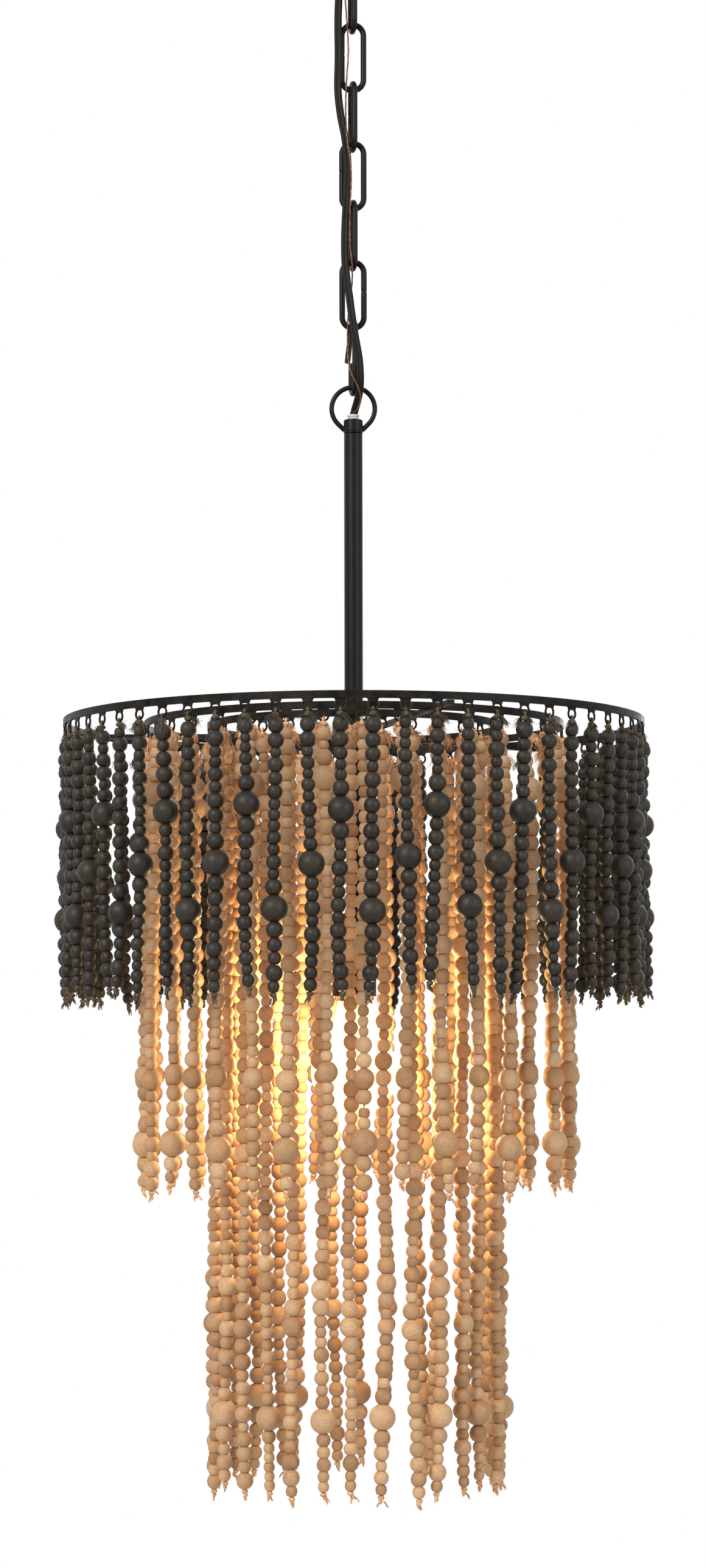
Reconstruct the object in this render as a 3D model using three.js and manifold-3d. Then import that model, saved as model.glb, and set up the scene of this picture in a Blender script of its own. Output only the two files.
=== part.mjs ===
// Three-tier beaded chandelier that hangs on a chain, in millimetres.
// The origin is where the vertical axis meets the ceiling, +Z points up and the front faces -Y.
// Bead strands hang in groups: the strands of a group share one thin run of twine under their eyelets.

import * as THREE from "three";
import { mergeVertices } from "three/addons/utils/BufferGeometryUtils.js";
import Module from "manifold-3d";

const wasm = await Module();
wasm.setup();

// Fits
const gap = 0.3;
const slack = 0.7;
const overrun = 2;

// Ceiling fitting
const canopyDepth = 23.6;
const canopyFlatDiameter = 84;
const canopyRimHeight = 7;
const canopyWall = 1.2;
const crossbarWidth = 16;
const crossbarEndMargin = 8.05;
const canopyMargin = 10;
const crossbarThickness = 2;
const outletScrewSpacing = 88.9;
const outletScrewDiameter = 4;
const outletScrewReach = 14;
const outletScrewHeadDiameter = 8;
const outletScrewHeadHeight = 2.6;
const nippleDiameter = 9.5;
const nippleBore = 7.2;
const nippleAboveCeiling = 8;
const nippleInCollar = 5;
const locknutAcross = 14;
const locknutHeight = 4;
const canopyRingDiameter = 25;
const canopyRingHeight = 4;
const connectorWidth = 16;
const connectorDepth = 10;
const connectorHeight = 18;

// Wire loops with their collars
const loopDiameter = 33.6;
const loopWire = 3.4;
const collarDiameter = 13.5;
const collarHeight = 9.4;
const collarBore = 7.8;
const loopToCollar = 8;
const loopLegDegrees = 45;

// Chain
const linkLength = 50.3;
const endLinkLength = 54.3;
const linkTurn = 8;
const linkWidth = 19;
const linkWire = 3.8;
const linkCount = 7;
const linkFlatShare = 0.45;

// Cable and ground wire
const cableWidth = 5.4;
const cableThickness = 2.8;
const groundWireDiameter = 1.2;
const groundOffset = 2.2;
const groundFootOffset = 4.4;
const connectorLift = 2.1;
const bushingHeadDiameter = 8.8;
const bushingHeadHeight = 3.4;
const bushingShankDiameter = 7.2;
const bushingShankLength = 6;
const bushingBore = 6.4;

// Stem, hub and drop pipe
const stemDiameter = 13;
const stemWall = 1.2;
const stemLength = 201;
const hubDiameter = 30;
const hubHeight = 13;
const dropPipeDiameter = 10;
const dropPipeWall = 1.2;
const dropPipeLength = 120;

// Hoops and the bars that carry them
const outerHoopDiameter = 402;
const middleHoopDiameter = 290;
const innerHoopDiameter = 202;
const stripHeight = 5;
const stripThickness = 2;
const eyeletDiameter = 8.4;
const eyeletHole = 5.8;
const eyeletDrop = 4.5;
const eyeletPlate = 1.6;
const shoulderWidth = 9.4;
const eyeletTaperShare = 0.75;
const barWidth = 5;
const barThickness = 3;
const barDegrees = 18;
const barRiseShare = 0.019;
const barCount = 3;

// Bead strands
const columnDiameter = 9.2;
const mediumBeadDiameter = 13.6;
const largeBeadDiameter = 17.4;
const outerStrandLength = 189;
const middleStrandLength = 318;
const innerStrandLength = 522;
const knotSize = 1.8;
const tipLength = 9;
const strandSides = 4;
const swayPower = 1.5;

// Lamp
const socketDiameter = 30.6;
const socketCapHeight = 16;
const socketShellHeight = 42;
const socketWall = 0.6;
const screwShellLength = 30;
const screwShellShown = 3.5;
const bulbDiameter = 60;
const bulbBaseDiameter = 24.4;
const bulbBaseLength = 25;
const bulbGlassLength = 79.5;
const bulbGlassWall = 1;
const bulbMountLength = 52;
const bulbMountDiameter = 7;

// Tiers: hoop, number of strands, angle of the first strand from the front, length below the eyelet centre,
// and, as shares of that length, the sway at the tip along and across the hoop and the place of each large bead.
const tiers = [
  {
    name: "outer",
    diameter: outerHoopDiameter,
    strands: 60,
    groups: 10,
    firstDegrees: -2.5,
    length: outerStrandLength,
    swayAlongShare: 0.014,
    swayAcrossShare: 0.018,
    colour: 0x2c2d2b,
    beads: [
      { placeShare: 0.344, diameter: largeBeadDiameter },
      { placeShare: 0.688, diameter: largeBeadDiameter },
      { placeShare: 0.524, diameter: largeBeadDiameter },
    ],
  },
  {
    name: "middle",
    diameter: middleHoopDiameter,
    strands: 36,
    groups: 6,
    firstDegrees: 2,
    length: middleStrandLength,
    swayAlongShare: 0.0107,
    swayAcrossShare: 0.0107,
    colour: 0xc59c7c,
    beads: [
      { placeShare: 0.878, diameter: largeBeadDiameter },
      { placeShare: 0.138, diameter: largeBeadDiameter },
    ],
  },
  {
    name: "inner",
    diameter: innerHoopDiameter,
    strands: 30,
    groups: 5,
    firstDegrees: -1.5,
    length: innerStrandLength,
    swayAlongShare: 0.0061,
    swayAcrossShare: 0.008,
    colour: 0xc29a7a,
    beads: [
      { placeShare: 0.773, diameter: mediumBeadDiameter },
      { placeShare: 0.885, diameter: largeBeadDiameter },
    ],
  },
];

// Lengths that follow from the outlet box, then heights, from the ceiling down
const crossbarLength = outletScrewSpacing + 2 * crossbarEndMargin;
const canopyDiameter = crossbarLength + 2 * canopyMargin;
const connectorBottom = nippleAboveCeiling + connectorLift;
const canopyBottom = -canopyDepth;
const canopyRingTop = canopyBottom - gap;
const topCollarTop = canopyRingTop - canopyRingHeight - gap;
const topCollarBottom = topCollarTop - collarHeight;
const topLoopCentre = topCollarBottom - loopToCollar;
const loopReach = (loopDiameter - loopWire) / 2;
const seatStep = (loopWire + linkWire) / 2 + slack;
const chain = [];
for (let k = 0, top = topLoopCentre - loopReach + seatStep; k < linkCount; k++) {
  const length = k === linkCount - 1 ? endLinkLength : linkLength;
  chain.push({ top, bottom: top - length + linkWire });
  top -= length - 2 * linkWire - slack;
}
const stemLoopCentre = chain[linkCount - 1].bottom + seatStep - loopReach;
const stemCollarTop = stemLoopCentre - loopToCollar;
const stemTop = stemCollarTop - collarHeight - gap;
const hubTop = stemTop - stemLength - gap;
const hubBottom = hubTop - hubHeight;
const hoopBottom = hubTop - stripHeight;
const eyeletHeight = hoopBottom - eyeletDrop;
const knotHeight = eyeletHeight - eyeletDiameter / 2 - slack - knotSize / 2;
const dropPipeTop = hubBottom - gap;
const socketTop = dropPipeTop - dropPipeLength - gap;
const socketShellTop = socketTop - socketCapHeight - gap;
const socketMouth = socketShellTop - socketShellHeight;

// A closed three.js geometry as a manifold solid
function solidOf(geometry) {
  const bare = new THREE.BufferGeometry();
  const source = geometry.index ? geometry.toNonIndexed() : geometry;
  bare.setAttribute("position", source.getAttribute("position"));
  const merged = mergeVertices(bare, 1e-4);
  return new wasm.Manifold(
    new wasm.Mesh({
      numProp: 3,
      vertProperties: merged.attributes.position.array,
      triVerts: new Uint32Array(merged.index.array),
    }),
  );
}

// A manifold solid as a three.js geometry
function geometryOf(solid) {
  const mesh = solid.getMesh();
  const geometry = new THREE.BufferGeometry();
  geometry.setAttribute("position", new THREE.BufferAttribute(mesh.vertProperties, 3));
  geometry.setIndex(new THREE.BufferAttribute(mesh.triVerts, 1));
  return geometry;
}

function joined(geometries) {
  const solids = geometries.map(solidOf);
  return geometryOf(solids.slice(1).reduce((sum, solid) => sum.add(solid), solids[0]));
}

function cut(geometry, tools) {
  const solid = tools.map(solidOf).reduce((rest, tool) => rest.subtract(tool), solidOf(geometry));
  return geometryOf(solid);
}

// A turned solid: the profile is a list of [radius, height], which runs anticlockwise round the wall
function turned(profile, sides) {
  const points = profile.map(([radius, height]) => new THREE.Vector2(radius, height));
  return new THREE.LatheGeometry(points, sides).rotateX(Math.PI / 2);
}

function rod(diameter, bottom, top, sides) {
  const radius = diameter / 2;
  return turned([[0, bottom], [radius, bottom], [radius, top], [0, top]], sides);
}

function pipe(outside, inside, bottom, top, sides) {
  const outer = outside / 2;
  const inner = inside / 2;
  return turned([[inner, bottom], [outer, bottom], [outer, top], [inner, top], [inner, bottom]], sides);
}

// A flat outline, extruded along Z from the bottom to the top
function slab(outline, bottom, top) {
  const geometry = new THREE.ExtrudeGeometry(outline, { depth: top - bottom, bevelEnabled: false, curveSegments: 6 });
  return geometry.translate(0, 0, bottom);
}

// A round or flat section swept along a curve
function swept(curve, depth, width, sides, steps) {
  const section = new THREE.Shape();
  for (let i = 0; i < sides; i++) {
    const turn = ((i + 0.5) / sides) * 2 * Math.PI;
    const point = [(depth / 2) * Math.cos(turn), (width / 2) * Math.sin(turn)];
    if (i) section.lineTo(...point);
    else section.moveTo(...point);
  }
  return new THREE.ExtrudeGeometry(section, { steps, extrudePath: curve });
}

function piece(name, geometry, colour, roughness, metalness, opacity = 1) {
  const material = new THREE.MeshStandardMaterial({ color: colour, roughness, metalness });
  material.opacity = opacity;
  material.transparent = opacity < 1;
  const mesh = new THREE.Mesh(geometry, material);
  mesh.name = name;
  return mesh;
}

const blackSteel = [0x17181a, 0.42, 0.6];
const zincSteel = [0x9a9c9e, 0.35, 0.9];
const brass = [0xb98a45, 0.3, 0.9];

// Ceiling fitting
function crossbar() {
  const bar = new THREE.BoxGeometry(crossbarLength, crossbarWidth, crossbarThickness);
  bar.translate(0, 0, -crossbarThickness / 2);
  const below = -crossbarThickness - overrun;
  const middle = rod(nippleDiameter + 3 * gap, below, overrun, 12);
  const ends = [-1, 1].map((side) =>
    rod(outletScrewDiameter + 2 * gap, below, overrun, 8).translate((side * outletScrewSpacing) / 2, 0, 0),
  );
  return cut(bar, [middle, ...ends]);
}

function outletScrew(side) {
  const shank = outletScrewDiameter / 2;
  const head = outletScrewHeadDiameter / 2;
  const seat = -crossbarThickness - gap;
  const profile = [
    [0, seat - outletScrewHeadHeight],
    [head, seat - outletScrewHeadHeight],
    [head, seat],
    [shank, seat],
    [shank, outletScrewReach],
    [0, outletScrewReach],
  ];
  return turned(profile, 8).translate((side * outletScrewSpacing) / 2, 0, 0);
}

function canopy() {
  const rim = canopyDiameter / 2;
  const flat = canopyFlatDiameter / 2;
  const hole = nippleDiameter / 2 + gap;
  const shoulder = -canopyRimHeight;
  const profile = [
    [hole, canopyBottom],
    [flat, canopyBottom],
    [rim, shoulder],
    [rim, 0],
    [rim - canopyWall, 0],
    [rim - canopyWall, shoulder],
    [flat - canopyWall, canopyBottom + canopyWall],
    [hole, canopyBottom + canopyWall],
    [hole, canopyBottom],
  ];
  return turned(profile, 24);
}

function locknut() {
  const top = -crossbarThickness - gap;
  const corners = (2 * locknutAcross) / Math.sqrt(3);
  const bore = rod(nippleDiameter + 2 * gap, top - locknutHeight - overrun, top + overrun, 16);
  return cut(rod(corners, top - locknutHeight, top, 6), [bore]);
}

// Wire loop on a collar: the loop's wire lies in the XZ plane, open side down
class LoopCurve extends THREE.Curve {
  getPoint(t) {
    const leg = collarDiameter / 3;
    const opening = THREE.MathUtils.degToRad(loopLegDegrees);
    const arc = 2 * (Math.PI - opening) * loopReach;
    const along = t * (arc + 2 * leg) - leg - arc / 2;
    const past = Math.max(Math.abs(along) - arc / 2, 0);
    const turn = (along - Math.sign(along) * past) / loopReach;
    const x = loopReach * Math.sin(turn) + Math.sign(along) * past * Math.cos(turn);
    const z = loopReach * Math.cos(turn) - Math.sign(along) * past * Math.sin(turn);
    return new THREE.Vector3(x, 0, z);
  }
}

function loopWithCollar(bore, seatDepth) {
  const nearFace = -loopToCollar;
  const farFace = nearFace - collarHeight;
  const outer = collarDiameter / 2;
  const seat = nippleDiameter / 2 + gap;
  const body = turned(
    [
      [bore / 2, farFace + seatDepth],
      [seat, farFace + seatDepth],
      [seat, farFace],
      [outer, farFace],
      [outer, nearFace],
      [bore / 2, nearFace],
      [bore / 2, farFace + seatDepth],
    ],
    16,
  );
  const throat = rod(bore, farFace - overrun, nearFace + overrun, 16);
  const well = rod(2 * seat, farFace - overrun, farFace + seatDepth, 16);
  const wire = cut(swept(new LoopCurve(), loopWire, loopWire, 6, 14), [throat, well]);
  return joined([body, wire]);
}

// Chain link: a stadium of round wire with a seam on one side, in the XZ plane, centre at the origin
function stadium(width, height) {
  const radius = width / 2;
  const straight = height / 2 - radius;
  const shape = new THREE.Shape();
  shape.absarc(0, straight, radius, 0, Math.PI);
  shape.absarc(0, -straight, radius, Math.PI, 2 * Math.PI);
  shape.closePath();
  return shape;
}

function chainLink(index) {
  const { top, bottom } = chain[index];
  const length = top - bottom;
  const flat = linkWire * linkFlatShare;
  const chamfer = (linkWire - flat) / 2;
  const outline = stadium(linkWidth - 2 * chamfer, length + linkWire - 2 * chamfer);
  outline.holes.push(stadium(linkWidth - 2 * linkWire + 2 * chamfer, length - linkWire + 2 * chamfer));
  const ring = new THREE.ExtrudeGeometry(outline, {
    depth: flat,
    bevelThickness: chamfer,
    bevelSize: chamfer,
    bevelSegments: 1,
    curveSegments: 4,
  });
  ring.translate(0, 0, -flat / 2).rotateX(Math.PI / 2);
  const seam = new THREE.BoxGeometry(2 * linkWire, 2 * linkWire, gap);
  seam.translate(linkWidth / 2, 0, linkWire);
  const link = cut(ring, [seam]);
  if (index % 2 === 0) link.rotateZ(((90 + linkTurn) * Math.PI) / 180);
  return link.translate(0, 0, (top + bottom) / 2);
}

// A route beside the chain. Each point's shares are of a link's width across and forward, and of the way down from
// the upper collar to the lower one.
function besideChain(shares) {
  const drop = stemCollarTop - topCollarBottom;
  return shares.map(([x, y, down]) => [x * linkWidth, y * linkWidth, topCollarBottom + down * drop]);
}

// Route of the cable, from the supply connector down to the socket
const cableShares = [
  [-0.053, -0.063, 0.012],
  [-0.274, -0.295, 0.033],
  [-0.453, -0.389, 0.0689],
  [-0.505, -0.295, 0.1229],
  [-0.537, -0.232, 0.1769],
  [-0.526, -0.211, 0.2488],
  [-0.547, -0.211, 0.3147],
  [-0.453, -0.274, 0.3687],
  [-0.295, -0.368, 0.4167],
  [-0.195, -0.389, 0.4646],
  [-0.189, -0.379, 0.5066],
  [-0.242, -0.358, 0.5546],
  [-0.295, -0.337, 0.6145],
  [-0.295, -0.379, 0.6685],
  [-0.232, -0.453, 0.7134],
  [-0.137, -0.516, 0.7494],
  [-0.063, -0.579, 0.7824],
  [0.063, -0.621, 0.8303],
  [0.211, -0.616, 0.8783],
  [0.258, -0.595, 0.9156],
  [0.242, -0.495, 0.9375],
  [0.179, -0.284, 0.9581],
  [0.063, -0.042, 0.9787],
  [0, 0, 0.9952],
];
const cableRoute = [
  [0, 0, connectorBottom - gap],
  [0, 0, canopyBottom / 2],
  [0, 0, topCollarBottom],
  ...besideChain(cableShares),
  [0, 0, stemTop],
  [0, 0, (stemTop + hubTop) / 2],
  [0, 0, dropPipeTop],
  [0, 0, socketTop - socketCapHeight / 2],
];

// Route of the bare ground wire, from the supply connector down to the hub
const groundShares = [
  [0.021, 0.074, 0.012],
  [-0.011, -0.179, 0.033],
  [-0.189, -0.558, 0.0629],
  [-0.274, -0.505, 0.1169],
  [-0.211, -0.295, 0.177],
  [-0.158, -0.221, 0.2367],
  [-0.232, -0.221, 0.3029],
  [-0.263, -0.253, 0.3628],
  [-0.232, -0.484, 0.404],
  [-0.179, -0.521, 0.4363],
  [-0.121, -0.521, 0.4569],
  [-0.063, -0.516, 0.4893],
  [-0.068, -0.516, 0.5246],
  [-0.105, -0.516, 0.5657],
  [-0.116, -0.432, 0.6186],
  [-0.1, -0.516, 0.651],
  [-0.047, -0.553, 0.6745],
  [-0.032, -0.4, 0.7157],
  [-0.105, -0.316, 0.751],
  [-0.179, -0.295, 0.7862],
  [-0.205, -0.4, 0.8156],
  [-0.205, -0.442, 0.8509],
  [-0.179, -0.516, 0.8803],
  [-0.074, -0.663, 0.9097],
  [0.137, -0.674, 0.9333],
  [0.263, -0.505, 0.9538],
  [0.242, -0.347, 0.9685],
  [0.126, -0.211, 0.9815],
  [0.011, -0.121, 0.9871],
  [0, -0.116, 0.9967],
];
const groundRoute = [
  [0, groundOffset, connectorBottom - gap],
  [0, groundOffset, canopyBottom / 2],
  [0, groundOffset, topCollarBottom],
  ...besideChain(groundShares),
  [0, -groundOffset, stemCollarTop - collarHeight / 2],
  [0, -groundOffset, stemTop],
  [0, -groundFootOffset, (stemTop + hubTop) / 2],
  [0, -groundFootOffset, hubTop + overrun],
];

// A curve through a route, with its steps spread by the points and not by length
class RouteCurve extends THREE.CatmullRomCurve3 {
  constructor(route) {
    super(route.map((point) => new THREE.Vector3(...point)));
  }

  getUtoTmapping(u) {
    return u;
  }
}

function bushing() {
  const head = bushingHeadDiameter / 2;
  const shank = bushingShankDiameter / 2;
  const bore = bushingBore / 2;
  const seat = stemCollarTop + gap;
  const profile = [
    [bore, seat - gap - bushingShankLength],
    [shank, seat - gap - bushingShankLength],
    [shank, seat],
    [head, seat],
    [head, seat + bushingHeadHeight],
    [bore, seat + bushingHeadHeight],
    [bore, seat - gap - bushingShankLength],
  ];
  return turned(profile, 12);
}

// Hoop: a rolled strip with tapered tabs that end in eyelets
function eyeletTab() {
  const half = eyeletDiameter / 2;
  const shoulder = shoulderWidth / 2;
  const embedded = stripHeight / 4;
  const outline = new THREE.Shape();
  outline.moveTo(-shoulder, embedded);
  outline.lineTo(-half * eyeletTaperShare, -eyeletDrop - half);
  outline.lineTo(half * eyeletTaperShare, -eyeletDrop - half);
  outline.lineTo(shoulder, embedded);
  outline.closePath();
  const hole = new THREE.Path();
  const reach = eyeletHole / 2;
  hole.moveTo(0, -eyeletDrop - reach);
  hole.lineTo(-reach, -eyeletDrop);
  hole.lineTo(0, -eyeletDrop + reach);
  hole.lineTo(reach, -eyeletDrop);
  hole.closePath();
  outline.holes.push(hole);
  const plate = new THREE.ExtrudeGeometry(outline, { depth: eyeletPlate, bevelEnabled: false });
  return plate.translate(0, 0, -eyeletPlate / 2).rotateX(Math.PI / 2);
}

function strandAngle(tier, index) {
  return THREE.MathUtils.degToRad(tier.firstDegrees + (360 / tier.strands) * index);
}

// The bars rise a little outwards, so a smaller hoop lies a little lower
function hoopDrop(diameter) {
  return ((outerHoopDiameter - diameter) / 2) * barRiseShare;
}

function hoop(tier) {
  const radius = tier.diameter / 2;
  const half = stripThickness / 2;
  const step = Math.PI / tier.strands;
  const strip = pipe(2 * (radius + half), 2 * (radius - half), hoopBottom, hubTop, tier.strands);
  strip.rotateZ(strandAngle(tier, 0) + step);
  const solids = [strip];
  for (let i = 0; i < tier.strands; i++) {
    const tab = eyeletTab().translate(0, -radius * Math.cos(step), hoopBottom);
    solids.push(tab.rotateZ(strandAngle(tier, i)));
  }
  return joined(solids).translate(0, 0, -hoopDrop(tier.diameter));
}

function bar(index) {
  const start = hubDiameter / 2 + gap;
  const end = (outerHoopDiameter + stripThickness) / 2;
  const box = new THREE.BoxGeometry(barWidth, end - start, barThickness);
  box.rotateX(-Math.atan(barRiseShare));
  box.translate(0, -(start + end) / 2, hoopBottom - gap - barThickness / 2 - hoopDrop(start + end));
  return box.rotateZ(THREE.MathUtils.degToRad(barDegrees + (360 / barCount) * index));
}

// Bead strand: a column as wide as the run of small beads, with its large beads swelling out
function strand(tier, index) {
  const column = columnDiameter / 2;
  const end = eyeletHeight - tier.length;
  const bead = tier.beads[(index + tier.strands) % tier.beads.length];
  const middle = eyeletHeight - bead.placeShare * tier.length;
  const swell = bead.diameter / 2;
  const profile = [
    [0, end],
    [column, end + tipLength],
    [column, middle - swell],
    [swell, middle],
    [column, middle + swell],
    [column, knotHeight],
    [0, knotHeight],
  ];
  const geometry = turned(profile, strandSides);
  const places = geometry.getAttribute("position");
  const along = tier.swayAlongShare * tier.length * Math.sin(2.4 * index + tier.strands);
  const across = tier.swayAcrossShare * tier.length * Math.sin(1.7 * index + 2 * tier.strands);
  for (let i = 0; i < places.count; i++) {
    const share = ((eyeletHeight - places.getZ(i)) / tier.length) ** swayPower;
    places.setX(i, places.getX(i) + along * share);
    places.setY(i, places.getY(i) - across * share - tier.diameter / 2);
  }
  return geometry.rotateZ(strandAngle(tier, index));
}

// The run of twine between one strand's knot and the next one's
function twineRun(tier, index) {
  const [from, to] = [index, index + 1].map((i) => {
    const angle = strandAngle(tier, i);
    const radius = tier.diameter / 2;
    return new THREE.Vector3(radius * Math.sin(angle), -radius * Math.cos(angle), knotHeight);
  });
  const run = new THREE.BoxGeometry(from.distanceTo(to), knotSize, knotSize);
  run.rotateZ(Math.atan2(to.y - from.y, to.x - from.x));
  const middle = from.add(to).multiplyScalar(0.5);
  return run.translate(middle.x, middle.y, middle.z);
}

function strandGroup(tier, group) {
  const count = tier.strands / tier.groups;
  const first = group * count - count / 2;
  const solids = [];
  for (let i = 0; i < count; i++) {
    solids.push(strand(tier, first + i));
    if (i < count - 1) solids.push(twineRun(tier, first + i));
  }
  return joined(solids).translate(0, 0, -hoopDrop(tier.diameter));
}

// Lamp
function socketCap() {
  const outer = socketDiameter / 2;
  const hole = dropPipeDiameter / 2 - dropPipeWall;
  const bottom = socketTop - socketCapHeight;
  const neck = dropPipeDiameter / 2 + 2 * socketWall;
  const slope = socketTop - socketCapHeight / 2;
  const profile = [
    [outer - 2 * socketWall, bottom],
    [outer, bottom],
    [outer, slope],
    [neck, socketTop],
    [hole, socketTop],
    [hole, socketTop - 2 * socketWall],
    [neck, socketTop - 2 * socketWall],
    [outer - 2 * socketWall, slope],
    [outer - 2 * socketWall, bottom],
  ];
  return turned(profile, 16);
}

function socketBody() {
  const outer = socketDiameter / 2 - socketWall - gap;
  const inner = outer - 2 * socketWall;
  const top = socketShellTop;
  const floor = top - 4 * socketWall;
  const profile = [
    [inner, socketMouth],
    [outer, socketMouth],
    [outer, top],
    [0, top],
    [0, floor],
    [inner, floor],
    [inner, socketMouth],
  ];
  return turned(profile, 16);
}

function screwShell() {
  const outer = socketDiameter - 2 * (socketWall + gap) - 4 * socketWall - 2 * gap;
  const bottom = socketMouth - screwShellShown;
  return pipe(outer, outer - socketWall, bottom, bottom + screwShellLength, 16);
}

const baseTop = socketMouth - screwShellShown + bulbBaseLength;
const glassTop = socketMouth - screwShellShown + gap;

function bulbBase() {
  const outer = bulbBaseDiameter / 2;
  const inner = outer - socketWall;
  const bottom = socketMouth - screwShellShown;
  const contact = outer / 3;
  const profile = [
    [inner, bottom],
    [outer, bottom],
    [outer, baseTop - contact],
    [contact, baseTop],
    [0, baseTop],
    [0, baseTop - contact],
    [contact, baseTop - contact],
    [inner, baseTop - 2 * contact],
    [inner, bottom],
  ];
  return turned(profile, 16);
}

// The glass bulb is open at its neck, which sits in the base
function bulbGlass() {
  const globe = bulbDiameter / 2;
  const neck = bulbBaseDiameter / 2 - socketWall - gap;
  const globeHeight = glassTop - bulbGlassLength + globe;
  const outside = [[0, globeHeight - globe]];
  const tangent = 35;
  for (let degrees = 18; degrees <= 90 + tangent; degrees += (72 + tangent) / 6) {
    const turn = THREE.MathUtils.degToRad(degrees);
    outside.push([globe * Math.sin(turn), globeHeight - globe * Math.cos(turn)]);
  }
  outside.push([neck, glassTop - bulbBaseLength / 4], [neck, glassTop + bulbBaseLength / 3]);
  const inside = outside.map(([radius, height], i) => [
    Math.max(radius - bulbGlassWall, 0),
    i ? height : height + bulbGlassWall,
  ]);
  return turned([...outside, ...inside.reverse()], 16);
}

function bulbMount() {
  const neck = bulbBaseDiameter / 2 - socketWall - gap - bulbGlassWall - gap;
  const top = glassTop + bulbBaseLength / 3;
  const tip = top - bulbMountLength;
  const radius = bulbMountDiameter / 2;
  const profile = [
    [0, tip],
    [radius / 2, tip],
    [radius, (top + tip) / 2],
    [neck, top],
    [0, top],
  ];
  return turned(profile, 8);
}

const chandelier = new THREE.Group();

const ceiling = new THREE.Group();
ceiling.add(piece("crossbar", crossbar(), ...zincSteel));
ceiling.add(piece("outlet_screw_left", outletScrew(-1), ...zincSteel));
ceiling.add(piece("outlet_screw_right", outletScrew(1), ...zincSteel));
const nippleBottom = topCollarTop - nippleInCollar;
const nipple = pipe(nippleDiameter, nippleBore, nippleBottom, nippleAboveCeiling, 16);
ceiling.add(piece("threaded_nipple", nipple, ...zincSteel));
ceiling.add(piece("nipple_locknut", locknut(), ...zincSteel));
ceiling.add(piece("canopy", canopy(), ...blackSteel));
const canopyRing = pipe(
  canopyRingDiameter,
  nippleDiameter + 2 * gap,
  canopyRingTop - canopyRingHeight,
  canopyRingTop,
  20,
);
ceiling.add(piece("canopy_ring", canopyRing, ...blackSteel));
const topLoop = loopWithCollar(nippleBore, nippleInCollar + gap).rotateX(Math.PI);
ceiling.add(piece("canopy_loop", topLoop.translate(0, 0, topLoopCentre), ...blackSteel));
const connector = new THREE.BoxGeometry(connectorWidth, connectorDepth, connectorHeight);
connector.translate(0, 0, connectorBottom + connectorHeight / 2);
ceiling.add(piece("supply_connector", connector, 0xd9d4c4, 0.5, 0));
chandelier.add(ceiling);

const hanging = new THREE.Group();
for (let k = 0; k < linkCount; k++) {
  hanging.add(piece(`chain_link_${k + 1}`, chainLink(k), ...blackSteel));
}
const cable = swept(new RouteCurve(cableRoute), cableThickness, cableWidth, 8, 44);
hanging.add(piece("power_cable", cable, 0x141414, 0.45, 0));
const groundWire = swept(new RouteCurve(groundRoute), groundWireDiameter, groundWireDiameter, 8, 36);
hanging.add(piece("ground_wire", groundWire, 0x7c3f26, 0.4, 0.8));
hanging.add(piece("cable_bushing", bushing(), 0xe4e6df, 0.35, 0, 0.85));
const stemLoop = loopWithCollar(collarBore, gap);
hanging.add(piece("stem_loop", stemLoop.translate(0, 0, stemLoopCentre), ...blackSteel));
const stem = pipe(stemDiameter, stemDiameter - 2 * stemWall, stemTop - stemLength, stemTop, 16);
hanging.add(piece("stem", stem, ...blackSteel));
const hubBore = dropPipeDiameter - 2 * dropPipeWall;
hanging.add(piece("hub", pipe(hubDiameter, hubBore, hubBottom, hubTop, 24), ...blackSteel));
for (let i = 0; i < barCount; i++) {
  hanging.add(piece(`cross_bar_${i + 1}`, bar(i), ...blackSteel));
}
for (const tier of tiers) {
  hanging.add(piece(`${tier.name}_hoop`, hoop(tier), ...blackSteel));
}
const dropPipe = pipe(dropPipeDiameter, hubBore, dropPipeTop - dropPipeLength, dropPipeTop, 12);
hanging.add(piece("drop_pipe", dropPipe, ...blackSteel));
hanging.add(piece("socket_cap", socketCap(), ...blackSteel));
const socketShell = pipe(
  socketDiameter,
  socketDiameter - 2 * socketWall,
  socketMouth,
  socketShellTop,
  16,
);
hanging.add(piece("socket_shell", socketShell, ...blackSteel));
hanging.add(piece("socket_body", socketBody(), 0x3a2a1e, 0.5, 0));
hanging.add(piece("screw_shell", screwShell(), ...brass));
hanging.add(piece("bulb_base", bulbBase(), ...zincSteel));
hanging.add(piece("bulb_glass", bulbGlass(), 0xfff4dc, 0.05, 0, 0.35));
hanging.add(piece("bulb_mount", bulbMount(), 0xfff0d0, 0.1, 0, 0.6));
chandelier.add(hanging);

for (const tier of tiers) {
  const tierGroup = new THREE.Group();
  for (let group = 0; group < tier.groups; group++) {
    const name = `${tier.name}_strands_${group + 1}`;
    tierGroup.add(piece(name, strandGroup(tier, group), tier.colour, 0.7, 0));
  }
  chandelier.add(tierGroup);
}

export default chandelier;
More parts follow.
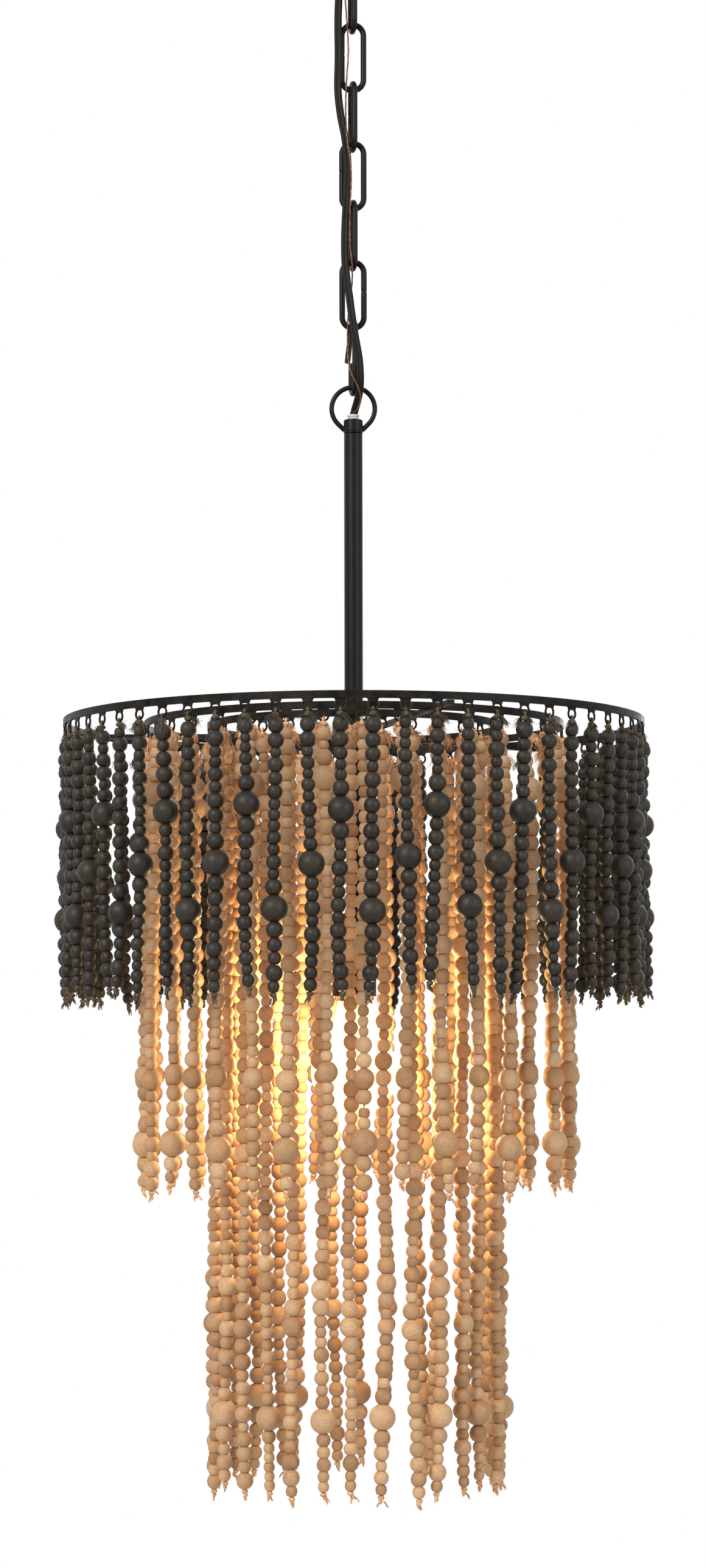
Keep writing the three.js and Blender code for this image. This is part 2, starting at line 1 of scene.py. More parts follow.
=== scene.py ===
import bpy
import numpy as np
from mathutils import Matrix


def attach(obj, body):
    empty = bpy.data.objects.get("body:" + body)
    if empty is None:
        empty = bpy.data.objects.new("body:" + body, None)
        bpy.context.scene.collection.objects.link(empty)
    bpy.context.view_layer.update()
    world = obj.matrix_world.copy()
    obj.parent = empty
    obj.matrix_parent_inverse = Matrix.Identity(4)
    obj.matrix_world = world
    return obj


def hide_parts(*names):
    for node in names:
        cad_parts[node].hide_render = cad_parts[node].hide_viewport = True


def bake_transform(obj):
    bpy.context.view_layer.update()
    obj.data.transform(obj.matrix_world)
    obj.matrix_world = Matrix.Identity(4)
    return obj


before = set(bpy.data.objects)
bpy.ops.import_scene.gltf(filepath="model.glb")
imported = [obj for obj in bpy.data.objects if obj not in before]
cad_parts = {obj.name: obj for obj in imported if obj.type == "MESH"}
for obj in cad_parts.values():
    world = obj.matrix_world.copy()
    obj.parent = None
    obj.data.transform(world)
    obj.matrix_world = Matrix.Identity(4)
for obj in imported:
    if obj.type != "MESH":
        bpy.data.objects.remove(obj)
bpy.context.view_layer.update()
bpy.context.scene.view_settings.view_transform = "Standard"

# Camera: stands 2.5 m in front of the axis and a little above the middle of the bead tiers, and looks up
# slightly, so that the hoops show their undersides. The picture is 1160 by 2576.
CAMERA_PLACE = (-0.001, -2.5, -0.8361)
CAMERA_TILT = np.radians(2.3)
CAMERA_ROLL = np.radians(0.1)
CAMERA_SHIFT = 0.0942
CAMERA_REACH = 50
FOCAL_PIXELS = 5912
PICTURE_HEIGHT = 2576
SENSOR = 36.0
camera_data = bpy.data.cameras.new("camera")
camera_data.sensor_fit = "VERTICAL"
camera_data.sensor_height = SENSOR
camera_data.lens = SENSOR * FOCAL_PIXELS / PICTURE_HEIGHT
camera_data.shift_y = CAMERA_SHIFT
camera_data.clip_end = CAMERA_REACH
camera = bpy.data.objects.new("camera", camera_data)
camera.location = CAMERA_PLACE
camera.rotation_euler = (np.pi / 2 + CAMERA_TILT, CAMERA_ROLL, 0)
bpy.context.scene.collection.objects.link(camera)
bpy.context.scene.camera = camera


# Finishes: a material is worked out as arithmetic on the values of its sockets.
class Value:
    """A socket's value in a material, which adds and multiplies as a number does."""

    def __init__(self, finish, socket):
        self.finish, self.socket = finish, socket

    def maths(self, operation, *values):
        return self.finish.node("ShaderNodeMath", {"operation": operation}, dict(enumerate(values)))

    def __add__(self, other):
        return self.maths("ADD", self, other)

    def __mul__(self, other):
        return self.maths("MULTIPLY", self, other)

    __radd__, __rmul__ = __add__, __mul__

    def between(self, low, high):
        """0 at low and below, 1 at high and above, and a straight line between them."""
        inputs = {"Value": self, "From Min": low, "From Max": high}
        return self.finish.node("ShaderNodeMapRange", {"clamp": True}, inputs)


class Finish:
    """A material with one Principled shader: plain settings go on its sockets, and values are linked."""

    def __init__(self, name, **sockets):
        self.material = bpy.data.materials.new(name)
        self.material.use_nodes = True
        self.tree = self.material.node_tree
        self.shader = self.tree.nodes["Principled BSDF"]
        self.set(**sockets)

    def put(self, socket, value):
        if isinstance(value, Value):
            self.tree.links.new(value.socket, socket)
        else:
            socket.default_value = value

    def set(self, **sockets):
        for name, value in sockets.items():
            self.put(self.shader.inputs[name.replace("_", " ")], value)

    def node(self, kind, settings=None, inputs=None, output=0):
        node = self.tree.nodes.new(kind)
        for name, value in (settings or {}).items():
            setattr(node, name, value)
        for name, value in (inputs or {}).items():
            self.put(node.inputs[name], value)
        return Value(self, node.outputs[output])

    def mix(self, factor, first, second):
        """A colour between two colours."""
        inputs = {0: factor, 6: first, 7: second}
        return self.node("ShaderNodeMix", {"data_type": "RGBA"}, inputs, output=2)

    def noise(self, place, scale, detail=2.0, roughness=0.5):
        inputs = {"Vector": place, "Scale": scale, "Detail": detail, "Roughness": roughness}
        return self.node("ShaderNodeTexNoise", {}, inputs)

    def stretched(self, place, scale):
        return self.node("ShaderNodeMapping", {}, {"Vector": place, "Scale": scale})

    def attribute(self, name, output):
        return self.node("ShaderNodeAttribute", {"attribute_name": name}, output=output)

    def place(self):
        """The piece's own coordinates."""
        return self.node("ShaderNodeTexCoord", output=3)

    def mottle(self, dark, pale, scale, stretch=(1, 1, 1)):
        """The base colour wavers between two colours. The noise that drives it comes back, from 0 to 1."""
        noise = self.noise(self.stretched(self.place(), stretch), scale, detail=3.0, roughness=0.6)
        waver = noise.between(0.32, 0.68)
        self.set(Base_Color=self.mix(waver, dark, pale))
        return waver

    def bump(self, height, strength, distance):
        inputs = {"Height": height, "Strength": strength, "Distance": distance}
        self.set(Normal=self.node("ShaderNodeBump", {}, inputs))


# Studio: a plain pale floor, a white world and large soft lamps. The camera, gloss and glass see the world
# as full white, and it lights the object at the level WORLD_LIGHT.
FLOOR_HEIGHT = -1.62
FLOOR_SIDE = 6.0
WORLD_LIGHT = 0.28
floor_finish = Finish("floor", Base_Color=(0.86, 0.86, 0.86, 1), Roughness=0.9)
half = FLOOR_SIDE / 2
floor_mesh = bpy.data.meshes.new("floor")
floor_corners = [(-half, -half, FLOOR_HEIGHT), (half, -half, FLOOR_HEIGHT), (half, half, FLOOR_HEIGHT)]
floor_mesh.from_pydata([*floor_corners, (-half, half, FLOOR_HEIGHT)], [], [(0, 1, 2, 3)])
floor_mesh.materials.append(floor_finish.material)
floor = bpy.data.objects.new("floor", floor_mesh)
bpy.context.scene.collection.objects.link(floor)

world = bpy.data.worlds.new("studio")
bpy.context.scene.world = world
world.use_nodes = True
world_nodes, world_links = world.node_tree.nodes, world.node_tree.links
sky = world_nodes["Background"]
sky.inputs["Color"].default_value = (1, 1, 1, 1)
rays = world_nodes.new("ShaderNodeLightPath")
seen = rays.outputs["Is Camera Ray"]
for kind in ("Is Glossy Ray", "Is Transmission Ray"):
    either = world_nodes.new("ShaderNodeMath")
    either.operation = "MAXIMUM"
    world_links.new(seen, either.inputs[0])
    world_links.new(rays.outputs[kind], either.inputs[1])
    seen = either.outputs[0]
level = world_nodes.new("ShaderNodeMapRange")
level.inputs["To Min"].default_value = WORLD_LIGHT
level.inputs["To Max"].default_value = 1.0
world_links.new(seen, level.inputs["Value"])
world_links.new(level.outputs[0], sky.inputs["Strength"])

# place, size and strength in watts; each lamp faces the middle of the beads
LAMPS = [
    ("key", (-1.7, -2.4, 0.9), 1.1, 84),
    ("fill", (2.3, -1.9, 0.2), 1.5, 30),
    ("back", (0.6, 2.4, 0.3), 1.8, 24),
]
LAMP_AIM = np.array([0.0, 0.0, -0.75])
for name, place, size, watts in LAMPS:
    lamp_data = bpy.data.lights.new(name, "AREA")
    lamp_data.size = size
    lamp_data.energy = watts
    lamp = bpy.data.objects.new(name, lamp_data)
    lamp.location = place
    away = np.array(place) - LAMP_AIM
    flat = np.hypot(away[0], away[1])
    lamp.rotation_euler = (np.arctan2(flat, away[2]), 0, np.arctan2(away[0], -away[1]))
    bpy.context.scene.collection.objects.link(lamp)


# Crossbar, its two screws and the locknut: pressed and turned steel with bright zinc plating. The bar is
# screwed to the outlet box and carries all the rest, and the canopy hides it.
def dress(node, finish):
    """A CAD node keeps its own mesh and takes a finish."""
    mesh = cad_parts[node].data
    mesh.materials.clear()
    mesh.materials.append(finish.material)


zinc = Finish("zinc steel", Metallic=1.0)
zinc.set(Roughness=zinc.mottle((0.5, 0.5, 0.52, 1), (0.68, 0.68, 0.67, 1), 260.0) * 0.16 + 0.26)
for node in ("crossbar", "outlet_screw_left", "outlet_screw_right", "nipple_locknut"):
    dress(node, zinc)


# Threaded nipple: zinc-plated steel pipe with a fine thread all along. The locknut holds it in the crossbar,
# and the canopy loop is screwed on its lower end.
def make_piece(name, parts, body, finish, nodes=(), sharp=38, attributes=()):
    """One mesh from stacks of closed shells. A shell is a grid of points [row, column] in metres: each row is
    a ring, and the rows are joined one to the next, then closed by a face at each end, or on to the first
    where closed is true."""
    corners, rings, start = [], [], 0
    for points, closed in parts:
        shells = points.reshape(-1, *points.shape[-3:])
        count, rows, columns = shells.shape[:3]
        i = np.arange(rows if closed else rows - 1)[:, None]
        j = np.arange(columns)[None, :]
        ahead, beside = (i + 1) % rows, (j + 1) % columns
        quads = [i * columns + j, i * columns + beside, ahead * columns + beside, ahead * columns + j]
        quads = np.stack(np.broadcast_arrays(*quads), -1).reshape(-1, 4)
        a, b, c, d = (shells[0].reshape(-1, 3)[quads[:, k]] - shells[0].mean((0, 1)) for k in range(4))
        flow = np.sum(np.cross(b - a, d - a) * a) + np.sum(np.cross(d - c, b - c) * c)
        faces = [quads]
        if not closed:
            faces.append(np.arange(columns)[None, ::-1])
            faces.append((rows - 1) * columns + np.arange(columns)[None, :])
        shift = start + np.arange(count)[:, None, None] * rows * columns
        for face in faces:
            face = face if flow > 0 else face[:, ::-1]
            rings.append((shift + face).reshape(-1, face.shape[1]))
        corners.append(shells.reshape(-1, 3))
        start += count * rows * columns
    corners = np.concatenate(corners)
    sizes = np.concatenate([np.full(len(ring), ring.shape[1]) for ring in rings])
    loops = np.concatenate([ring.ravel() for ring in rings])
    mesh = bpy.data.meshes.new(name)
    mesh.vertices.add(len(corners))
    mesh.vertices.foreach_set("co", corners.astype(np.float32).ravel())
    mesh.loops.add(len(loops))
    mesh.loops.foreach_set("vertex_index", loops.astype(np.int32))
    mesh.polygons.add(len(sizes))
    mesh.polygons.foreach_set("loop_start", (np.cumsum(sizes) - sizes).astype(np.int32))
    for key, kind, values in attributes:
        field = mesh.attributes.new(key, kind, "POINT")
        field.data.foreach_set("value" if kind == "FLOAT" else "vector", values.astype(np.float32).ravel())
    mesh.update(calc_edges=True)
    mesh.validate()
    mesh.shade_smooth()
    mesh.set_sharp_from_angle(angle=np.radians(sharp))
    mesh.materials.append(finish.material)
    piece = bpy.data.objects.new(name, mesh)
    bpy.context.scene.collection.objects.link(piece)
    if body:
        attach(piece, body)
    if nodes:
        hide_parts(*nodes)
    return piece


def turned(profile, sides=64):
    """Rings about the vertical axis, (r cos a, r sin a, z) for each (r, z) of a profile in millimetres."""
    radius, height = np.array(profile, float).T[:, :, None]
    angle = np.linspace(0, 2 * np.pi, sides, endpoint=False)[None, :]
    rings = [radius * np.cos(angle), radius * np.sin(angle), height + 0 * angle]
    return np.stack(rings, -1) / 1000


NIPPLE = {"diameter": 9.5, "bore": 7.2, "top": 8.0, "bottom": -33.2, "pitch": 1.0, "depth": 0.35}
turns = np.arange(NIPPLE["bottom"], NIPPLE["top"], NIPPLE["pitch"] / 2)
depths = np.where(np.arange(len(turns)) % 2, 0.0, NIPPLE["depth"])
thread = [(NIPPLE["diameter"] / 2 - depth, z) for z, depth in zip(turns, depths)]
thread += [(NIPPLE["bore"] / 2, NIPPLE["top"]), (NIPPLE["bore"] / 2, NIPPLE["bottom"])]
thread_rings = turned(thread, sides=32)
make_piece("nipple_thread", [(thread_rings, True)], "ceiling", zinc, ["threaded_nipple"], 20)

# Canopy and the ring that holds it: a cover spun from sheet steel and a turned nut, in satin black powder
# coat. The ring sits on the nipple and holds the cover up to the ceiling.
black_steel = Finish("black steel", Specular_IOR_Level=0.14)
black_wear = black_steel.mottle((0.004, 0.0036, 0.003, 1), (0.0085, 0.0072, 0.0056, 1), 60.0, (1, 1, 3))
black_steel.set(Roughness=black_wear * 0.06 + 0.34)
black_steel.bump(black_steel.noise(black_steel.place(), 900.0), 0.08, 0.0004)
CANOPY_BOTTOM = -23.6
CANOPY_HOLE = 5.05
CANOPY_WALL = 1.2
canopy_outside = [
    (CANOPY_HOLE, CANOPY_BOTTOM),
    (30.0, CANOPY_BOTTOM),
    (40.0, CANOPY_BOTTOM + 0.5),
    (47.0, CANOPY_BOTTOM + 3.2),
    (53.5, CANOPY_BOTTOM + 8.4),
    (59.0, CANOPY_BOTTOM + 14.0),
    (61.6, CANOPY_BOTTOM + 18.6),
    (62.4, CANOPY_BOTTOM + 22.0),
    (62.5, -0.2),
]
canopy_inside = []
for r, z in canopy_outside[::-1]:
    canopy_inside.append((max(r - CANOPY_WALL, CANOPY_HOLE), min(z + CANOPY_WALL, 0)))


def black_turning(name, profile, node, body="fixture", sides=64, sharp=38):
    """A closed profile turned about the vertical axis, in black steel."""
    make_piece(name, [(turned(profile, sides), True)], body, black_steel, [node], sharp)


def wall(size, bottom, top):
    """Profile of a pipe with its two diameters and its outer edges broken: a rectangle less two corners."""
    inside, outside, edge = size["inside"] / 2, size["outside"] / 2, size["edge"]
    return [
        (inside, bottom),
        (outside - edge, bottom),
        (outside, bottom + edge),
        (outside, top - edge),
        (outside - edge, top),
        (inside, top),
    ]


black_turning("canopy_cover", [*canopy_outside, *canopy_inside], "canopy", "ceiling", sides=96, sharp=50)
# clearance between pieces that are screwed together
GAP = 0.3
RING = {"outside": 25, "inside": 10.1, "height": 4.0, "edge": 0.8}
RING_TOP = CANOPY_BOTTOM - GAP
black_turning("canopy_nut", wall(RING, RING_TOP - RING["height"], RING_TOP), "canopy_ring", "ceiling")

# Supply connector: a block moulded in pale plastic, up in the outlet box. The cable and the ground wire are
# clamped in it, and meet the house wires there.
connector_plastic = Finish("connector", Roughness=0.45)
connector_plastic.mottle((0.68, 0.64, 0.54, 1), (0.76, 0.73, 0.65, 1), 120.0)
dress("supply_connector", connector_plastic)


# Canopy loop and stem loop: round wire bent into a ring, with two straight legs welded to a turned collar.
# The upper one is screwed on the nipple and the lower one on the stem, and the chain hangs between them.
def circle(radius, sides):
    """A round section: (r cos a, r sin a)."""
    angle = np.linspace(0, 2 * np.pi, sides, endpoint=False)
    return radius * np.stack([np.cos(angle), np.sin(angle)], -1)


def swept(path, section, side, closed=False):
    """Rings of a section carried along a path in millimetres: path + x * across + y * out. The across
    direction is `side` less its part along the path, and out is at right angles to both. A section may
    change from ring to ring."""
    path = np.array(path, float)
    if closed:
        along = np.roll(path, -1, 0) - np.roll(path, 1, 0)
    else:
        along = np.gradient(path, axis=0)
    along /= np.linalg.norm(along, axis=1, keepdims=True)
    across = np.broadcast_to(np.array(side, float), path.shape)
    across = across - np.sum(across * along, 1, keepdims=True) * along
    across /= np.linalg.norm(across, axis=1, keepdims=True)
    out = np.cross(along, across)
    section = np.broadcast_to(section, (len(path), *np.shape(section)[-2:]))
    rings = path[:, None] + section[..., :1] * across[:, None] + section[..., 1:] * out[:, None]
    return rings / 1000


LOOP = {"reach": 15.1, "wire": 3.4, "leg": 6.4, "to_collar": 8.0}
COLLAR = {"diameter": 13.5, "height": 9.4, "groove": 1.6, "depth": 0.25, "edge": 0.2, "rounding": 0.6}
arc = np.radians(np.linspace(-135, 135, 60))
loop_arc = LOOP["reach"] * np.stack([np.sin(arc), 0 * arc, np.cos(arc)], -1)
leg = LOOP["leg"] * np.array([np.sqrt(0.5), 0, -np.sqrt(0.5)])
loop_wire = np.vstack([loop_arc[:1] + leg, loop_arc, loop_arc[-1:] + leg * [-1, 1, 1]])
loop_rings = swept(loop_wire, circle(LOOP["wire"] / 2, 16), (0, 1, 0))


def collar(near, bore):
    """The collar's profile: a plain sleeve with a fine groove where its base ring starts."""
    outer, far = COLLAR["diameter"] / 2, near - COLLAR["height"]
    groove = far + COLLAR["groove"]
    return [
        (bore / 2, near),
        (bore / 2, far),
        (outer - COLLAR["edge"], far),
        (outer, far + COLLAR["edge"]),
        (outer, groove - COLLAR["edge"]),
        (outer - COLLAR["depth"], groove),
        (outer, groove + COLLAR["edge"]),
        (outer, near - COLLAR["rounding"]),
        (outer - COLLAR["rounding"], near),
    ]


def loop(name, centre, upside_down, body, node, bore):
    """A ring with its collar under it, or over it if it is upside down."""
    flip = np.array([1, 1, -1]) if upside_down else np.array([1, 1, 1])
    sleeve = turned(collar(-LOOP["to_collar"], bore), sides=48)
    middle = np.array([0, 0, centre / 1000])
    parts = [(loop_rings * flip + middle, False), (sleeve * flip + middle, True)]
    make_piece(name, parts, body, black_steel, [node])


CANOPY_LOOP = -45.6
STEM_LOOP = -369.7
loop("upper_loop", CANOPY_LOOP, True, "ceiling", "canopy_loop", 9.9)
loop("lower_loop", STEM_LOOP, False, "fixture", "stem_loop", 7.8)

# Chain: seven links of round black wire, each bent to an oval and closed by a seam in its side. Every other
# link is turned a little past edge-on. The last link was opened to hang the stem, and its side stands out at
# the seam. The section's radius is a little more than half the wire that sets the pitch.
LINK = {"width": 19.0, "wire": 3.8, "radius": 2.05, "length": 50.3, "slack": 0.7, "seam": 0.15}
LAST_LENGTH = 54.3
LINK_COUNT = 7
SEAM_ROW = 7
LAST_SEAM_ROW = 5
SEAM_ON_LEFT = (1, 3)
STAND = {"most": 3.0, "at_bend": 0.25, "rows": 8}
EDGE_ON = 100.0
link_middles, link_ends = [], []
top = CANOPY_LOOP - LOOP["reach"] + (LOOP["wire"] + LINK["wire"]) / 2 + LINK["slack"]
for k in range(LINK_COUNT):
    is_last = k == LINK_COUNT - 1
    bottom = top - (LAST_LENGTH if is_last else LINK["length"]) + LINK["wire"]
    reach = (LINK["width"] - LINK["wire"]) / 2
    straight = (top - bottom) / 2 - reach
    turn = np.radians(np.linspace(0, 180, 25))
    cap = reach * np.stack([np.cos(turn), np.sin(turn)], -1) + [0, straight]
    side_run = np.linspace(-straight, straight, 14)[1:-1]
    left = np.stack([np.full_like(side_run, -reach), side_run[::-1]], -1)
    right = np.stack([np.full_like(side_run, reach), side_run], -1)
    seam = LAST_SEAM_ROW if is_last else SEAM_ROW
    seam_height = side_run[seam - 1 : seam + 1].mean()
    above, below = (reach, seam_height + LINK["seam"] / 2), (reach, seam_height - LINK["seam"] / 2)
    outline = np.vstack([above, right[seam:], cap, left, -cap, right[:seam], below])
    stand = np.zeros(len(outline))
    if is_last:
        risen = len(right) - seam + 1
        bent = risen + STAND["rows"]
        stand[:risen] = STAND["most"] * np.linspace(1, STAND["at_bend"], risen)
        stand[risen:bent] = STAND["most"] * STAND["at_bend"] * np.linspace(1, 0, STAND["rows"])
    if k in SEAM_ON_LEFT:
        outline[:, 0] *= -1
    heading = np.radians(EDGE_ON if k % 2 == 0 else 0)
    width_way = np.array([np.cos(heading), np.sin(heading)])
    side_way = np.array([-np.sin(heading), np.cos(heading)])
    flat = outline[:, :1] * width_way + stand[:, None] * side_way
    path = np.concatenate([flat, outline[:, 1:] + (top + bottom) / 2], 1)
    taper = np.ones(len(path))
    taper[[0, -1]] = 0.9
    rings = swept(path, circle(LINK["radius"], 16) * taper[:, None, None], (*side_way, 0))
    name = f"oval_link_{k + 1}"
    make_piece(name, [(rings, False)], f"link_{k + 1}", black_steel, [f"chain_link_{k + 1}"])
    link_middles.append((top + bottom) / 2)
    link_ends.append(bottom)
    top = bottom + LINK["wire"] + LINK["slack"]

# Power cable: flat black twin-core cable, 5.4 by 2.8 mm, from the connector through the nipple, down beside
# the chain and in through the stem to the socket. It is cut at the middle of each link, into one stretch for
# each hinge between two links.
CABLE_ROUTE = [
    (0, 0, 9.8),
    (0, 0, -11.8),
    (0, 0, -37.6),
    (-1.0, -1.2, -41.7),
    (-5.2, -5.6, -48.8),
    (-8.6, -7.4, -61.0),
    (-9.6, -5.6, -79.4),
    (-10.2, -4.4, -97.8),
    (-10.0, -4.0, -122.2),
    (-10.4, -4.0, -144.6),
    (-8.6, -5.2, -163.0),
    (-5.6, -7.0, -179.3),
    (-3.7, -7.4, -195.6),
    (-3.6, -7.2, -209.9),
    (-4.6, -6.8, -226.2),
    (-5.6, -6.4, -246.6),
    (-5.6, -7.2, -265.0),
    (-4.4, -8.6, -280.2),
    (-2.6, -9.8, -292.5),
    (-1.2, -11.0, -303.7),
    (1.2, -11.8, -320.0),
    (4.0, -11.7, -336.3),
    (4.9, -11.3, -349.0),
    (4.6, -9.4, -356.4),
    (3.4, -5.4, -363.4),
    (1.2, -0.8, -370.5),
    (0.0, 0.0, -376.1),
    (0, 0, -387.4),
    (0, 0, -488.1),
    (0, 0, -602.0),
    (0, 0, -730.3),
]
CORE = {"radius": 1.4, "apart": 1.3}
core = np.radians(np.linspace(-130, 130, 12))
right_core = np.stack([CORE["apart"] + CORE["radius"] * np.cos(core), CORE["radius"] * np.sin(core)], -1)
twin_section = np.vstack([right_core, -right_core])
cable_jacket = Finish("cable jacket", Specular_IOR_Level=0.12)
jacket_scuff = cable_jacket.mottle((0.006, 0.006, 0.006, 1), (0.014, 0.013, 0.012, 1), 300.0, (1, 1, 0.3))
cable_jacket.set(Roughness=jacket_scuff * 0.15 + 0.42)
CHAIN_BODIES = ["ceiling", *(f"link_{k + 1}" for k in range(LINK_COUNT)), "fixture"]
ABOVE_ROUTES = 10.0
BELOW_ROUTES = -740.0
BEND_REACH = 9.0
hinges = [CANOPY_LOOP - LOOP["reach"], *link_ends]
cuts = [ABOVE_ROUTES, *link_middles, BELOW_ROUTES]


def routed(points, steps):
    """Points on the Catmull-Rom curve through the given points, `steps` to each stretch."""
    given = np.array(points, float)
    padded = np.vstack([2 * given[0] - given[1], given, 2 * given[-1] - given[-2]])
    t = np.linspace(0, 1, steps, endpoint=False)[None, :, None]
    p0, p1, p2, p3 = (padded[k : len(padded) - 3 + k][:, None, :] for k in range(4))
    square, cube = 2 * p0 - 5 * p1 + 4 * p2 - p3, 3 * p1 - p0 - 3 * p2 + p3
    curve = (2 * p1 + (p2 - p0) * t + square * t**2 + cube * t**3) / 2
    return np.vstack([curve.reshape(-1, 3), given[-1:]])


def hung_with_chain(name, route, section, finish, slot, node, steps):
    """A stretch of the route for each hinge, from the cut above it to the cut below it."""
    path = routed(route, steps)
    rings = swept(path, section, (1, 0, 0))
    for k, hinge in enumerate(hinges):
        inside = np.flatnonzero((path[:, 2] <= cuts[k]) & (path[:, 2] >= cuts[k + 1]))
        rows = rings[inside[0] : min(inside[-1] + 2, len(path))]
        stretch = make_piece(f"{name}_{k + 1}", [(rows, False)], None, finish, [node])
        start = np.array([0, 0, min(hinge + BEND_REACH, cuts[k])]) / 1000
        end = np.array([0, 0, max(hinge - BEND_REACH, cuts[k + 1])]) / 1000
        CHAIN_BODIES[k + 1]
        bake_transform(stretch)


cable_steps = 8
cable_look = (cable_jacket, "cable_jacket")
hung_with_chain("twin_cable", CABLE_ROUTE, twin_section, *cable_look, "power_cable", cable_steps)

# Ground wire: a thin rope of bare copper strands, gone dull brown. It wanders round the chain with the cable,
# runs down the stem to the hub, and is cut into a stretch for each hinge as the cable is.
GROUND_ROUTE = [
    (0, 2.2, 9.8),
    (0, 2.2, -11.8),
    (0, 2.2, -37.6),
    (0.4, 1.4, -41.7),
    (-0.2, -3.4, -48.8),
    (-3.6, -10.6, -59.0),
    (-5.2, -9.6, -77.4),
    (-4.0, -5.6, -97.8),
    (-3.0, -4.2, -118.1),
    (-4.4, -4.2, -140.6),
    (-5.0, -4.8, -161.0),
    (-4.4, -9.2, -175.0),
    (-3.4, -9.9, -186.0),
    (-2.3, -9.9, -193.0),
    (-1.2, -9.8, -204.0),
    (-1.3, -9.8, -216.0),
    (-2.0, -9.8, -230.0),
    (-2.2, -8.2, -248.0),
    (-1.9, -9.8, -259.0),
    (-0.9, -10.5, -267.0),
    (-0.6, -7.6, -281.0),
    (-2.0, -6.0, -293.0),
    (-3.4, -5.6, -305.0),
    (-3.9, -7.6, -315.0),
    (-3.9, -8.4, -327.0),
    (-3.4, -9.8, -337.0),
    (-1.4, -12.6, -347.0),
    (2.6, -12.8, -355.0),
    (5.0, -9.6, -362.0),
    (4.6, -6.6, -367.0),
    (2.4, -4.0, -371.4),
    (0.2, -2.3, -373.3),
    (0.0, -2.2, -376.6),
    (0, -2.2, -382.4),
    (0, -2.2, -387.4),
    (0, -4.4, -488.1),
    (0, -4.4, -586.7),
]
GROUND = {"radius": 0.52, "lobes": 3, "depth": 0.16, "twist": 0.9}
ground_steps = 16
ground_angle = np.linspace(0, 2 * np.pi, 12, endpoint=False)[None, :]
ground_rows = np.arange((len(GROUND_ROUTE) - 1) * ground_steps + 1)[:, None]
lobe = GROUND["depth"] * np.sin(GROUND["lobes"] * ground_angle + GROUND["twist"] * ground_rows)
ground_radius = GROUND["radius"] * (1 + lobe)
ground_section = np.stack([ground_radius * np.cos(ground_angle), ground_radius * np.sin(ground_angle)], -1)
bare_copper = Finish("bare copper", Metallic=0.6, Roughness=0.45)
bare_copper.mottle((0.1, 0.035, 0.018, 1), (0.2, 0.08, 0.04, 1), 350.0)
ground_look = (bare_copper, "bare_copper")
hung_with_chain("ground_rope", GROUND_ROUTE, ground_section, *ground_look, "ground_wire", ground_steps)

# Cable bushing: a sleeve with a lip, moulded in translucent white nylon. It is pressed into the stem's collar
# and keeps the cable and the ground wire off the edge of the steel.
COLLAR_TOP = STEM_LOOP - LOOP["to_collar"]
bushing_plastic = Finish("bushing", Roughness=0.3, Transmission_Weight=0.35)
bushing_plastic.mottle((0.74, 0.76, 0.73, 1), (0.85, 0.85, 0.82, 1), 400.0)
bushing_profile = [
    (3.2, COLLAR_TOP - 6),
    (3.6, COLLAR_TOP - 6),
    (3.6, COLLAR_TOP + 0.3),
    (3.7, COLLAR_TOP + 1.9),
    (4.2, COLLAR_TOP + 2.1),
    (4.3, COLLAR_TOP + 2.5),
    (4.3, COLLAR_TOP + 3.0),
    (4.1, COLLAR_TOP + 3.5),
    (3.2, COLLAR_TOP + 3.6),
]
bushing_parts = [(turned(bushing_profile, sides=32), True)]
make_piece("nylon_bushing", bushing_parts, "fixture", bushing_plastic, ["cable_bushing"])

# Stem: round steel tube, coated black. It is screwed into the collar at its top and into the hub at its foot,
# and the cable and the ground wire run down inside it.
STEM = {"outside": 13, "inside": 10.6, "length": 201, "edge": 0.4}
STEM_TOP = COLLAR_TOP - COLLAR["height"] - GAP
STEM_BOTTOM = STEM_TOP - STEM["length"]
black_turning("stem_tube", wall(STEM, STEM_BOTTOM, STEM_TOP), "stem")

# Hub: turned steel boss, coated black. The stem comes into it from above and the drop pipe from below, and
# the three flat bars that carry the hoops start at its side.
HUB = {"outside": 30, "inside": 7.6, "height": 13, "edge": 0.8}
HUB_TOP = STEM_BOTTOM - GAP
HUB_BOTTOM = HUB_TOP - HUB["height"]
black_turning("hub_boss", wall(HUB, HUB_BOTTOM, HUB_TOP), "hub")
for node in ("cross_bar_1", "cross_bar_2", "cross_bar_3"):
    dress(node, black_steel)

# Hoops: three rolled flat strips on bars that rise a little outwards, so the smaller hoops lie a little
# lower. Tabs are stamped out of each strip's lower edge, and each ends in an eyelet with a rolled rim.
STRIP = {"height": 5.0, "thickness": 2.0, "bevel": 0.35}
rubbed_steel = Finish("rubbed steel", Specular_IOR_Level=0.1)
rub = rubbed_steel.mottle((0.002, 0.0017, 0.0014, 1), (0.02, 0.015, 0.0105, 1), 110.0)
rubbed_steel.set(Roughness=rub * 0.2 + 0.32)
rubbed_steel.bump(rubbed_steel.noise(rubbed_steel.place(), 300.0, detail=3.0, roughness=0.6), 0.3, 0.0005)
TAB = {"drop": 4.5, "shoulder": 4.9, "neck": 3.3, "taper": 2.4, "plate": 1.2}
TAB_IN_STRIP = 0.6
TAB_IN_RIM = 0.9
RIM = {"radius": 3.45, "wire": 0.72}
